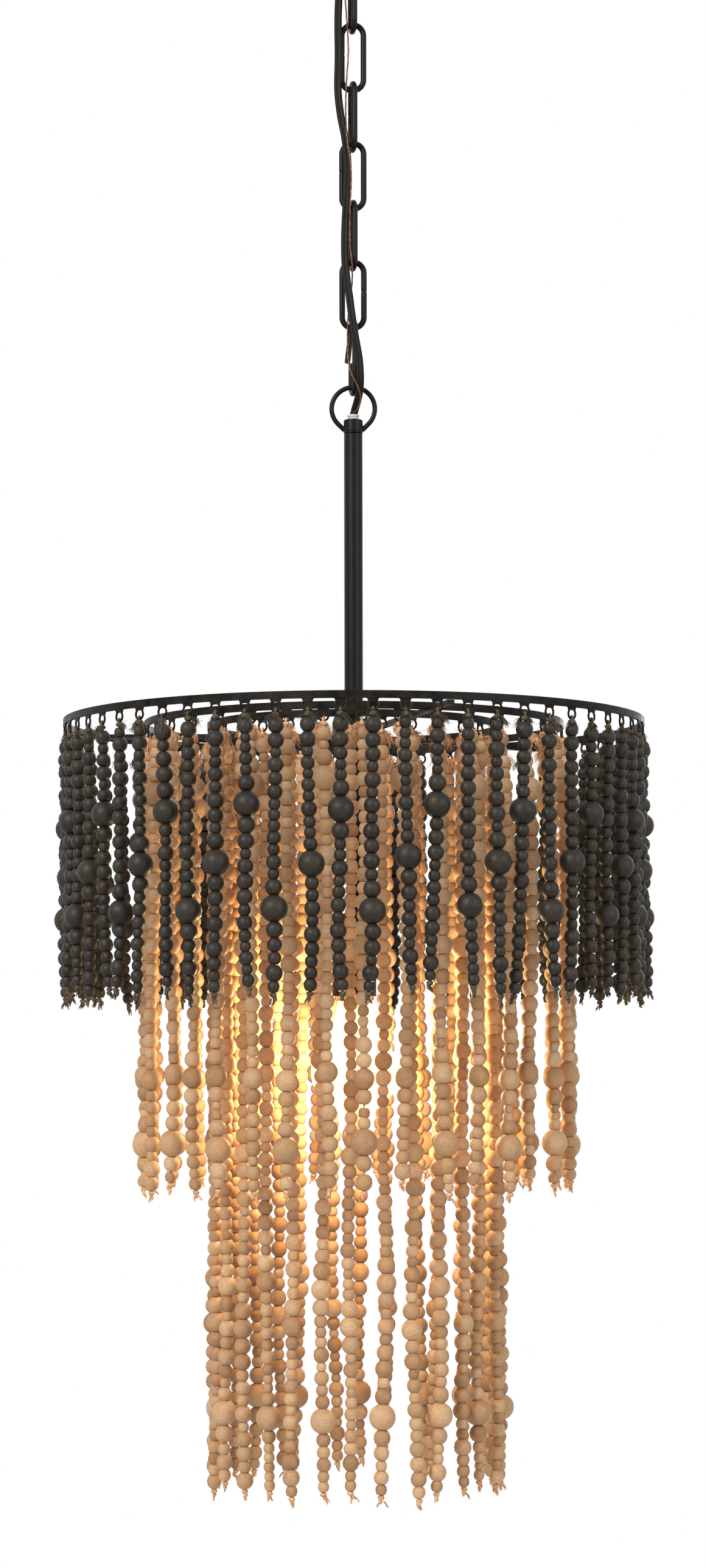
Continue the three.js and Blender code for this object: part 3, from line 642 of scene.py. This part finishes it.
# first: degrees from the front to strand 0; length: from the eyelet to the strand's foot; drop: how much
# lower the hoop lies; sway: how far strands lean along the hoop and away from it; flare: how far they stand
# out from it; aside: how far they hang to its right
TIERS = {
    "outer": {
        "radius": 201.0,
        "strands": 60,
        "groups": 10,
        "first": -2.5,
        "length": 189.0,
        "drop": 0.0,
        "sway": (3.2, 3.0),
        "flare": -1.2,
        "aside": 0.0,
    },
    "middle": {
        "radius": 145.0,
        "strands": 36,
        "groups": 6,
        "first": 2.0,
        "length": 318.0,
        "drop": 1.06,
        "sway": (3.6, 3.4),
        "flare": 3.5,
        "aside": 2.2,
    },
    "inner": {
        "radius": 101.0,
        "strands": 30,
        "groups": 5,
        "first": -1.5,
        "length": 522.0,
        "drop": 1.9,
        "sway": (3.4, 3.6),
        "flare": -2.0,
        "aside": 0.8,
    },
}
SETTLED = 60.0
STRIP_BASE = HUB_TOP - STRIP["height"]
EYELET = STRIP_BASE - TAB["drop"]


def placed(points, tier, index):
    """Points [across, out, up] in millimetres about a strand's place on its hoop, set in the object's frame.
    The shift aside grows from nothing at the eyelet to its full size at the depth SETTLED."""
    angle = np.radians(tier["first"] + 360 / tier["strands"] * index)
    across = np.stack([np.cos(angle), np.sin(angle)], -1)
    out = np.stack([np.sin(angle), -np.cos(angle)], -1)
    flat = points[..., :1] * across + (points[..., 1:2] + tier["radius"]) * out
    aside = tier["aside"] * np.clip((EYELET - points[..., 2:]) / SETTLED, 0, 1)
    flat = flat + aside * np.array([1, 0])
    return np.concatenate([flat, points[..., 2:] - tier["drop"]], -1)


strip_half = STRIP["thickness"] / 2
strip_section = [
    (-strip_half, STRIP_BASE),
    (strip_half, STRIP_BASE),
    (strip_half, HUB_TOP - STRIP["bevel"]),
    (strip_half - STRIP["bevel"], HUB_TOP),
    (STRIP["bevel"] - strip_half, HUB_TOP),
    (-strip_half, HUB_TOP - STRIP["bevel"]),
]
tab_run = np.linspace(0, 1, 9)
tab_half = TAB["neck"] + (TAB["shoulder"] - TAB["neck"]) * (1 - tab_run) ** TAB["taper"]
tab_length = TAB_IN_STRIP + TAB["drop"] - RIM["radius"] + TAB_IN_RIM
tab_height = STRIP_BASE + TAB_IN_STRIP - tab_run * tab_length
plate = TAB["plate"] / 2
tab_rings = []
for w, z in zip(tab_half, tab_height):
    tab_rings.append([(-w, -plate, z), (w, -plate, z), (w, plate, z), (-w, plate, z)])
tab_rings = np.array(tab_rings)
rim_angle = np.linspace(0, 2 * np.pi, 20, endpoint=False)
rim_across, rim_up = RIM["radius"] * np.cos(rim_angle), EYELET + RIM["radius"] * np.sin(rim_angle)
rim_path = np.stack([rim_across, 0 * rim_angle, rim_up], -1)
rim_rings = swept(rim_path, circle(RIM["wire"], 8), (0, 1, 0), closed=True) * 1000
for name, tier in TIERS.items():
    strip = turned([(tier["radius"] + r, z - tier["drop"]) for r, z in strip_section], sides=240)
    indexes = range(tier["strands"])
    tabs = np.stack([placed(tab_rings, tier, index) for index in indexes]) / 1000
    rims = np.stack([placed(rim_rings, tier, index) for index in indexes]) / 1000
    parts = [(strip, True), (tabs, False), (rims, True)]
    make_piece(f"{name}_hoop_strip", parts, "fixture", rubbed_steel, [f"{name}_hoop"])

# Drop pipe, socket cap and socket shell: thin steel, coated black, on the axis under the hub. The pipe is
# screwed into the hub and the cap, and the shell hangs from the cap's rim.
PIPE = {"outside": 10, "inside": 7.6, "length": 120, "edge": 0.3}
PIPE_TOP = HUB_BOTTOM - GAP
PIPE_BOTTOM = PIPE_TOP - PIPE["length"]
black_turning("drop_tube", wall(PIPE, PIPE_BOTTOM, PIPE_TOP), "drop_pipe", sides=32)
CAP_TOP = PIPE_BOTTOM - GAP
CAP_BOTTOM = CAP_TOP - 16
cap_profile = [
    (3.8, CAP_TOP),
    (6.2, CAP_TOP),
    (7.4, CAP_TOP - 0.8),
    (13.4, CAP_TOP - 4.6),
    (15, CAP_TOP - 8),
    (15.3, CAP_BOTTOM),
    (14.1, CAP_BOTTOM),
    (13.8, CAP_TOP - 8.4),
    (12.6, CAP_TOP - 5.6),
    (6.2, CAP_TOP - 1.9),
    (3.8, CAP_TOP - 1.2),
]
black_turning("socket_top", cap_profile, "socket_cap", sides=48)
SHELL = {"outside": 30.6, "inside": 29.4, "length": 42, "edge": 0.2}
SHELL_TOP = CAP_BOTTOM - GAP
MOUTH = SHELL_TOP - SHELL["length"]
black_turning("socket_sleeve", wall(SHELL, MOUTH, SHELL_TOP), "socket_shell", sides=48)

# Socket body and screw shell: an insulator moulded in brown plastic, which sits in the socket shell, and the
# screw shell in it, pressed from thin brass with a round thread for the bulb's base.
socket_plastic = Finish("socket body")
socket_swirl = socket_plastic.mottle((0.09, 0.045, 0.026, 1), (0.16, 0.085, 0.05, 1), 90.0)
socket_plastic.set(Roughness=socket_swirl * 0.12 + 0.34)
dress("socket_body", socket_plastic)
brass = Finish("brass", Metallic=1.0)
brass.set(Roughness=brass.mottle((0.62, 0.43, 0.2, 1), (0.8, 0.6, 0.32, 1), 150.0) * 0.14 + 0.22)
SCREW = {"shown": 3.5, "lip": 12.9, "radius": 12.7, "depth": 0.18, "pitch": 2.4, "length": 29, "wall": 0.28}
SCREW_BOTTOM = MOUTH - SCREW["shown"]
screw_heights = np.arange(SCREW_BOTTOM + 1, SCREW_BOTTOM + SCREW["length"], SCREW["pitch"] / 2)
screw_radii = SCREW["radius"] + SCREW["depth"] * np.cos(np.arange(len(screw_heights)) * np.pi)
screw_outside = [(SCREW["lip"], SCREW_BOTTOM), *zip(screw_radii, screw_heights)]
screw_inside = [(r - SCREW["wall"], z) for r, z in screw_outside[::-1]]
screw_rings = turned([*screw_outside, *screw_inside], sides=48)
make_piece("threaded_shell", [(screw_rings, True)], "fixture", brass, ["screw_shell"], 60)

# Bulb: a blown globe of clear glass on a screw base, with four lit filaments round a glass mount. It is
# screwed into the brass shell, and the filaments' glow lights the beads.
dress("bulb_base", zinc)
GLASS = {"radius": 30.0, "neck": 11.3, "length": 79.5, "wall": 0.8}
GLASS_TOP = SCREW_BOTTOM + GAP
globe = GLASS_TOP - GLASS["length"] + GLASS["radius"]
sweep = np.radians(np.linspace(2, 128, 22))
glass_outside = [(GLASS["radius"] * np.sin(t), globe - GLASS["radius"] * np.cos(t)) for t in sweep]
glass_outside += [
    (17.6, GLASS_TOP - 22),
    (13.4, GLASS_TOP - 13),
    (11.6, GLASS_TOP - 6),
    (GLASS["neck"], GLASS_TOP + 8),
]
glass_inside = []
for k, (r, z) in enumerate(glass_outside):
    lift = GLASS["wall"] if k < 3 else 0
    glass_inside.append((max(r - GLASS["wall"], 0.3), z + lift))
glass_rings = turned([*glass_outside, *glass_inside[::-1]], sides=64)
# The globe and the mount share one glass that emits a faint warm light: a painted glow of the lit bulb on the
# glass, beside the filaments that really light the scene.
clear_glass = Finish("clear glass", Base_Color=(0.6, 0.4, 0.16, 1), Roughness=0.05, Alpha=0.55)
clear_glass.set(Emission_Color=(1, 0.77, 0.38, 1), Emission_Strength=1.1)
make_piece("bulb_globe", [(glass_rings, True)], "fixture", clear_glass, ["bulb_glass"], 60)
mount_profile = [
    (10.6, GLASS_TOP + 8),
    (9.4, GLASS_TOP + 4),
    (3.4, GLASS_TOP - 8),
    (2.6, GLASS_TOP - 20),
    (3.2, GLASS_TOP - 24),
    (0.05, GLASS_TOP - 25),
]
mount_rings = turned(mount_profile, sides=24)
make_piece("bulb_stalk", [(mount_rings, False)], "fixture", clear_glass, ["bulb_mount"], 60)
FILAMENT = {"count": 4, "ring": 9.0, "radius": 1.5, "middle": -816.6, "half": 21.0, "lean": 0.12}
filament_run = np.linspace(-1, 1, 9)
filament_radius = FILAMENT["radius"] * np.sqrt(np.clip(1.02 - filament_run**8, 0.04, 1))
filament_rings = []
for k in range(FILAMENT["count"]):
    around = np.pi * (2 * k + 0.6) / FILAMENT["count"]
    away = FILAMENT["ring"] + FILAMENT["lean"] * FILAMENT["half"] * filament_run
    height = FILAMENT["middle"] + FILAMENT["half"] * filament_run
    path = np.stack([away * np.cos(around), away * np.sin(around), height], -1)
    filament_rings.append(swept(path, circle(1, 10) * filament_radius[:, None, None], (1, 0, 0)))
glow = Finish("filament glow", Base_Color=(1, 0.8, 0.5, 1))
glow.set(Emission_Color=(1, 0.8, 0.43, 1), Emission_Strength=2100.0)
make_piece("bulb_filaments", [(np.stack(filament_rings), False)], "fixture", glow, (), 60)

# Bead strands: turned wooden beads on twine, black-stained on the outer hoop and bare on the other two. Each
# strand has small and wide beads of mixed sizes, and one to three large ones.
BEADS = {
    "outer": {
        "small": [7.4, 7.8, 8.2, 8.6],
        "wide": [9.6, 10.2, 10.6, 10.9],
        "beside_large": [9.4, 11.3, 11.9],
    },
    "middle": {
        "small": [7.4, 7.8, 8.4, 8.8],
        "wide": [9.4, 9.9, 10.8, 11.4],
        "beside_large": [8.6, 11.0, 11.8],
    },
    "inner": {
        "small": [7.4, 7.8, 8.2, 8.8],
        "wide": [9.6, 10.0, 10.8, 11.6],
        "beside_large": [9.8, 11.6, 12.2],
    },
}
FIRST_BEAD = 7.6
LAST_BEAD = 8.0
# depth and width of each large bead of a strand, for two or three kinds of strand that follow one another
LARGE = {
    "outer": [[(65, 17.4)], [(130, 17.4)], [(99, 17.4)]],
    "middle": [[(151, 13.4), (237, 14.4), (283, 17.8)], [(44, 17.0), (91, 13.5), (237, 14.4)]],
    "inner": [[(151, 15.0), (290, 13.0), (405, 13.8)], [(225, 13.0), (376, 13.8), (464, 17.6)]],
}
# least and greatest width, heights on the side as shares of half the bead's height, and sides round it
BEAD_GRIDS = [
    (0.0, 12.9, [1, 0.86, 0.5, 0, -0.5, -0.86, -1], 9),
    (12.9, 99.0, [1, 0.92, 0.74, 0.46, 0.16, -0.16, -0.46, -0.74, -0.92, -1], 14),
]
LARGE_PLAY = {"depth": (-3, 3), "width": (0.97, 1.03)}
FOOT_PLAY = (-6, 4)
BEAD_HOLE = 1.1
BEAD_CONTACT = 2.6
BEAD_POWER = 2.05
BEAD_TIP = 0.045
LEAN_POWER = 1.5
WANDER = {"along": 2.0, "along_wave": 31.0, "out": 1.3, "out_wave": 27.0}
TURN_OFF = {"share": 0.3, "along": 3.8, "out": 1.2}


def strand_line(tier, index, depth):
    """Where a strand runs, [across, out, up], at each depth under its eyelet. It leans by a power of the
    depth's share of its length, wanders on the way, turns off at its tail, and stands out by the tier's
    flare. Sines of its index give each strand its own lean and phase."""
    share = np.clip(depth / tier["length"], 0, 1)
    along, away = tier["sway"]
    lean_along = along * np.sin(2.4 * index + tier["strands"])
    lean_out = away * np.sin(1.7 * index + 2 * tier["strands"])
    wave = share * (1 - 0.4 * share)
    tail = np.clip((share - 1 + TURN_OFF["share"]) / TURN_OFF["share"], 0, 1) ** 2
    wander = WANDER["along"] * wave * np.sin(depth / WANDER["along_wave"] + 2.1 * index)
    wander_out = WANDER["out"] * wave * np.cos(depth / WANDER["out_wave"] + 1.3 * index)
    across = lean_along * share**LEAN_POWER + wander + TURN_OFF["along"] * tail * np.sin(3.7 * index + 1)
    out = lean_out * share**LEAN_POWER + wander_out + TURN_OFF["out"] * tail * np.cos(2.9 * index)
    out = out + tier["flare"] * np.clip(depth / SETTLED, 0, 1)
    return np.stack([across, out, EYELET - depth], -1)


def bead_height(width):
    """Small beads are flatter: 0.84 of their width, which rises to 0.96 in the large ones."""
    return width * (0.84 + 0.12 * np.clip((np.array(width) - 8) / 6, 0, 1))


LEFT_FREE = 3.2
NEAR_END = 10.0
TURN_CHANCE = 0.7
STRETCH = (0.86, 1.06)
GAP_POWER = 4


def bead_run(first, last, sizes, luck):
    """Small and wide beads, mostly by turns, that fill the strand between two depths: (middle depth, width)
    each. They are stretched a little to fill it, and what is left over is shared out as gaps."""
    widths, wide = [], luck.random() < 0.5
    while bead_height(widths).sum() < last - first - LEFT_FREE:
        near_end = last - first - bead_height(widths).sum() < NEAR_END
        widths.append(luck.choice(sizes["wide" if wide and not near_end else "small"]))
        wide = not wide if luck.random() < TURN_CHANCE else wide
    if not widths:
        return []
    heights = bead_height(widths)
    stretch = np.clip((last - first) / heights.sum(), *STRETCH)
    widths, heights = np.array(widths) * stretch, heights * stretch
    spare = max(last - first - heights.sum(), 0)
    gaps = luck.random(len(widths)) ** GAP_POWER
    gaps *= spare / max(gaps.sum(), 1e-6)
    middles = first + np.cumsum(heights + gaps) - heights / 2
    return list(zip(middles, widths))


def strand_beads(name, tier, index, luck):
    """All the beads of a strand, from the eyelet down. A large one has a bead of a set size on each side."""
    beads, start = [], FIRST_BEAD
    for depth, width in LARGE[name][index % len(LARGE[name])]:
        depth = depth + luck.uniform(*LARGE_PLAY["depth"])
        width = width * luck.uniform(*LARGE_PLAY["width"])
        above, below = luck.choice(BEADS[name]["beside_large"], 2)
        top, bottom = depth - bead_height(width) / 2, depth + bead_height(width) / 2
        beads += bead_run(start, top - bead_height(above), BEADS[name], luck)
        beads.append((top - bead_height(above) / 2, above))
        beads.append((depth, width))
        beads.append((bottom + bead_height(below) / 2, below))
        start = bottom + bead_height(below)
    end = tier["length"] - LAST_BEAD + luck.uniform(*FOOT_PLAY)
    beads += bead_run(start, end, BEADS[name], luck)
    return np.array(beads)


def bead_shells(tier, index, beads, side, sides, luck):
    """Every bead as a ring grid, turned at random and set square to the strand but for a small tip. At the
    share u of its half height the radius is w/2 * (1 - (1 - c^p) |u|^p)^(1/p), where w is its width, c the
    share of it that touches the next bead and p BEAD_POWER. Each bead has its own run of grain and tint."""
    depth, width = beads.T
    contact = (2 * np.clip(BEAD_CONTACT / width, 0.15, 0.33)) ** BEAD_POWER
    share = np.abs(np.array(side, float))[None, :] ** BEAD_POWER
    radius = width[:, None] / 2 * (1 - (1 - contact[:, None]) * share) ** (1 / BEAD_POWER)
    hole = np.full((len(beads), 1), BEAD_HOLE)
    radius = np.concatenate([hole, radius, hole], 1)[..., None]
    up = np.array([0.97, *side, -0.97])[None, :] * bead_height(width)[:, None] / 2
    spin = luck.uniform(0, 2 * np.pi, (len(beads), 1, 1)) + np.linspace(0, 2 * np.pi, sides, endpoint=False)
    x, y = radius * np.cos(spin), radius * np.sin(spin)
    z = up[..., None] + 0 * x
    middle = strand_line(tier, index, depth)
    slope = strand_line(tier, index, depth - 3) - strand_line(tier, index, depth + 3)
    lean = slope[:, :2] / slope[:, 2:] + luck.normal(0, BEAD_TIP, (len(beads), 2))
    own = np.stack([x, y, z], -1)
    leant = own + np.concatenate([z[..., None] * lean[:, None, None, :], 0 * z[..., None]], -1)
    leant[..., 2] -= x * lean[:, None, None, 0] + y * lean[:, None, None, 1]
    tip, roll = luck.uniform(0, np.pi, (2, len(beads), 1, 1))
    grain_y = y * np.cos(tip) - z * np.sin(tip)
    tipped_z = y * np.sin(tip) + z * np.cos(tip)
    grain_x = x * np.cos(roll) + tipped_z * np.sin(roll)
    grain_z = tipped_z * np.cos(roll) - x * np.sin(roll)
    grain = np.stack([grain_x, grain_y, grain_z], -1) + luck.uniform(-200, 200, (len(beads), 1, 1, 3))
    tint = luck.random(len(beads))[:, None, None] + 0 * z
    return placed(leant + middle[:, None, None, :], tier, index), grain, tint


def wood(name, dark, pale, warm, grain_colour, grain_strength, roughness):
    """Bare or stained wood: each bead has its own tint, and fine streaks of grain run through it."""
    finish = Finish(name, Roughness=roughness, Specular_IOR_Level=0.3)
    tint = finish.attribute("tint", 2)
    grain = finish.attribute("grain", 1)
    streak = finish.noise(finish.stretched(grain, (0.9, 0.9, 0.16)), 0.9, detail=3.0, roughness=0.6)
    blotch = finish.noise(grain, 0.12, detail=1.0)
    colour = finish.mix(tint, dark, pale)
    colour = finish.mix(blotch.between(0.42, 0.68) * 0.55, colour, warm)
    shade = finish.mix(streak.between(0.42, 0.7) * grain_strength, colour, grain_colour)
    finish.set(Base_Color=shade)
    finish.bump(streak, 0.12, 0.0003)
    return finish


BLACK_WOOD = {
    "dark": (0.009, 0.0072, 0.005, 1),
    "pale": (0.022, 0.0175, 0.012, 1),
    "warm": (0.032, 0.022, 0.013, 1),
    "grain_colour": (0.075, 0.052, 0.032, 1),
}
BARE_WOOD = {
    "dark": (0.37, 0.205, 0.1, 1),
    "pale": (0.71, 0.465, 0.265, 1),
    "warm": (0.62, 0.33, 0.14, 1),
    "grain_colour": (0.27, 0.13, 0.06, 1),
}
black_wood = wood("black wood", **BLACK_WOOD, grain_strength=0.3, roughness=0.5)
bare_wood = wood("bare wood", **BARE_WOOD, grain_strength=0.33, roughness=0.55)

# Twine: a cord through the beads, knotted in the eyelet and under the last bead. Its ends are frayed to tufts
# on both sides of the eyelet, tails hang from the lower knot, and fine hairs stand round the upper ones.
CORD = {"radius": 0.8, "sides": 6, "top": 2.4, "below_bead": 2.5}
KNOTS = {
    "eyelet": (1.2, 1.5, 2.2),
    "collar": (2.4, 2.3, 1.9),
    "foot": (2.3, 2.1, 1.9),
    "lower": (1.5, 1.4, 1.9),
}
KNOT_STEP = 2.4
FOOT_DEPTH = 1.8
EYELET_KNOT_DEPTH = 2.9
TAIL_COUNT = 2
TAILS = {"count": 9, "length": 4.4, "spread": 0.08, "fall": 0.4, "thick": 0.62}
HAIRS = {"length": 3.4, "heading": (0, 0, 0.2), "spread": 0.5, "fall": 0.3, "thick": 0.22}
LONG_HAIRS = {"count": 4, "length": 6.0, "heading": (0, 0, 0.1), "spread": 0.5, "fall": 0.6, "thick": 0.12}
FRAY_FALL = 0.62
BUNCH_COUNT = 2
FRAY = {
    "outer": {"fibres": 56, "length": (5, 9.5), "spread": 0.13, "hairs": 18, "thick": 0.34},
    "middle": {"fibres": 84, "length": (6.5, 12), "spread": 0.2, "hairs": 30, "thick": 0.28},
}
FRAY["inner"] = FRAY["middle"]
black_twine = Finish("black twine", Roughness=0.9, Specular_IOR_Level=0.2)
black_twine.mottle((0.045, 0.035, 0.024, 1), (0.17, 0.13, 0.085, 1), 700.0, (1, 1, 0.3))
bare_twine = Finish("bare twine", Roughness=0.85, Specular_IOR_Level=0.2)
bare_twine.mottle((0.5, 0.24, 0.1, 1), (0.98, 0.64, 0.37, 1), 900.0, (1, 1, 0.3))


def blob(middle, size, luck, rings=7, sides=8):
    """A knot: a lumpy ball, whose radius wavers with the angle."""
    a = np.linspace(0.12, np.pi - 0.12, rings)[:, None]
    b = np.linspace(0, 2 * np.pi, sides, endpoint=False)[None, :]
    waver = 1 + 0.16 * np.sin(3 * b + 4 * a + luck.uniform(0, 6)) + 0.1 * np.sin(2 * b - 5 * a)
    x, y, z = np.sin(a) * np.cos(b) * waver, np.sin(a) * np.sin(b) * waver, np.cos(a) + 0 * b
    return middle + np.stack([x, y, z], -1) * size


def fibres(luck, root, count, length, heading, spread, fall, thick):
    """Frayed twine: thin crimped fibres, each of three sides, along
    p(t) = root + reach * ((heading + own way) * t + down * fall * t^1.7) + crimp * t * sin(...)."""
    t = np.linspace(0, 1, 5)[None, :, None]
    way = np.array(heading) + luck.normal(0, spread, (count, 1, 3))
    reach = length * luck.uniform(0.5, 1.1, (count, 1, 1))
    crimp = luck.uniform(0.08, 0.17, (count, 1, 1)) * length
    waves = crimp * t * np.sin(luck.uniform(4, 10, (count, 1, 1)) * t + luck.uniform(0, 6.3, (count, 1, 3)))
    path = root + reach * (way * t - np.array([0, 0, fall]) * t**1.7) + waves
    turn = np.linspace(0, 2 * np.pi, 3, endpoint=False)
    width = thick * (1.1 - 0.7 * t) * luck.uniform(0.6, 1.2, (count, 1, 1))
    ring = np.stack([np.cos(turn), np.sin(turn), 0.5 * np.sin(turn)], -1)
    return path[:, :, None, :] + width[..., None] * ring


for name, tier in TIERS.items():
    wooden, twine = (black_wood, black_twine) if name == "outer" else (bare_wood, bare_twine)
    fray = FRAY[name]
    count = tier["strands"] // tier["groups"]
    for group in range(tier["groups"]):
        body = f"{name}_strands_{group + 1}"
        luck = np.random.default_rng(1000 * len(name) + group)
        grids = [([], [], []) for _ in BEAD_GRIDS]
        cords, knots, frays = [], [], []
        for index in range(group * count - count // 2, group * count - count // 2 + count):
            beads = strand_beads(name, tier, index, luck)
            for grid, (least, most, side, sides) in zip(grids, BEAD_GRIDS):
                chosen = beads[(beads[:, 1] >= least) & (beads[:, 1] < most)]
                for kept, made in zip(grid, bead_shells(tier, index, chosen, side, sides, luck)):
                    kept.append(made)
            last = beads[-1, 0] + bead_height(beads[-1, 1]) / 2
            depth = np.linspace(CORD["top"], last + CORD["below_bead"], 40)
            cord_path = strand_line(tier, index, depth)
            cord_rings = swept(cord_path, circle(CORD["radius"], CORD["sides"]), (1, 0, 0)) * 1000
            cords.append(placed(cord_rings, tier, index))
            foot = strand_line(tier, index, np.array(last + FOOT_DEPTH))
            knots.append(placed(blob(foot, KNOTS["foot"], luck), tier, index))
            lower = foot - [luck.normal(0, 1.0), luck.normal(0, 0.8), KNOT_STEP]
            knots.append(placed(blob(lower, KNOTS["lower"], luck), tier, index))
            head = np.array([0, 0, EYELET - EYELET_KNOT_DEPTH])
            knots.append(placed(blob(head, KNOTS["eyelet"], luck), tier, index))
            collar_knot = head - [0, 0, KNOT_STEP]
            knots.append(placed(blob(collar_knot, KNOTS["collar"], luck), tier, index))
            for _ in range(TAIL_COUNT):
                stray = foot - [0, 0, 1.5] + luck.normal(0, 0.5, 3)
                aim = np.array([luck.normal(0, 0.35), luck.normal(0, 0.3), -0.5])
                frays.append(placed(fibres(luck, stray + aim, heading=aim, **TAILS), tier, index))
            for k in range(BUNCH_COUNT):
                side = np.pi * (k + index % 2) + luck.normal(0, 0.7)
                heading = np.array([np.cos(side), np.sin(side), 0]) * luck.uniform(0.35, 0.75)
                heading[2] = luck.uniform(-0.2, 0.15)
                length = luck.uniform(*fray["length"])
                root = collar_knot + 2 * heading + luck.normal(0, 0.5, (fray["fibres"], 1, 3))
                look = {"spread": fray["spread"], "fall": FRAY_FALL, "thick": fray["thick"]}
                bunch = fibres(luck, root, fray["fibres"], length, heading, **look)
                frays.append(placed(bunch, tier, index))
            for root in (head, collar_knot):
                frays.append(placed(fibres(luck, root, fray["hairs"], **HAIRS), tier, index))
            frays.append(placed(fibres(luck, head, **LONG_HAIRS), tier, index))
        shells, grains, tints = ([np.concatenate(grid[k]) for grid in grids] for k in range(3))
        fields = [("grain", "FLOAT_VECTOR", np.concatenate([grain.reshape(-1, 3) for grain in grains]))]
        fields.append(("tint", "FLOAT", np.concatenate([tint.ravel() for tint in tints])))
        parts = [(shell / 1000, True) for shell in shells]
        make_piece(f"{name}_{group + 1}_beads", parts, body, wooden, [body], 60, fields)
        parts = [(np.stack(cords) / 1000, False), (np.stack(knots) / 1000, False)]
        parts.append((np.concatenate(frays) / 1000, False))
        make_piece(f"{name}_{group + 1}_twine", parts, body, twine, (), 60)
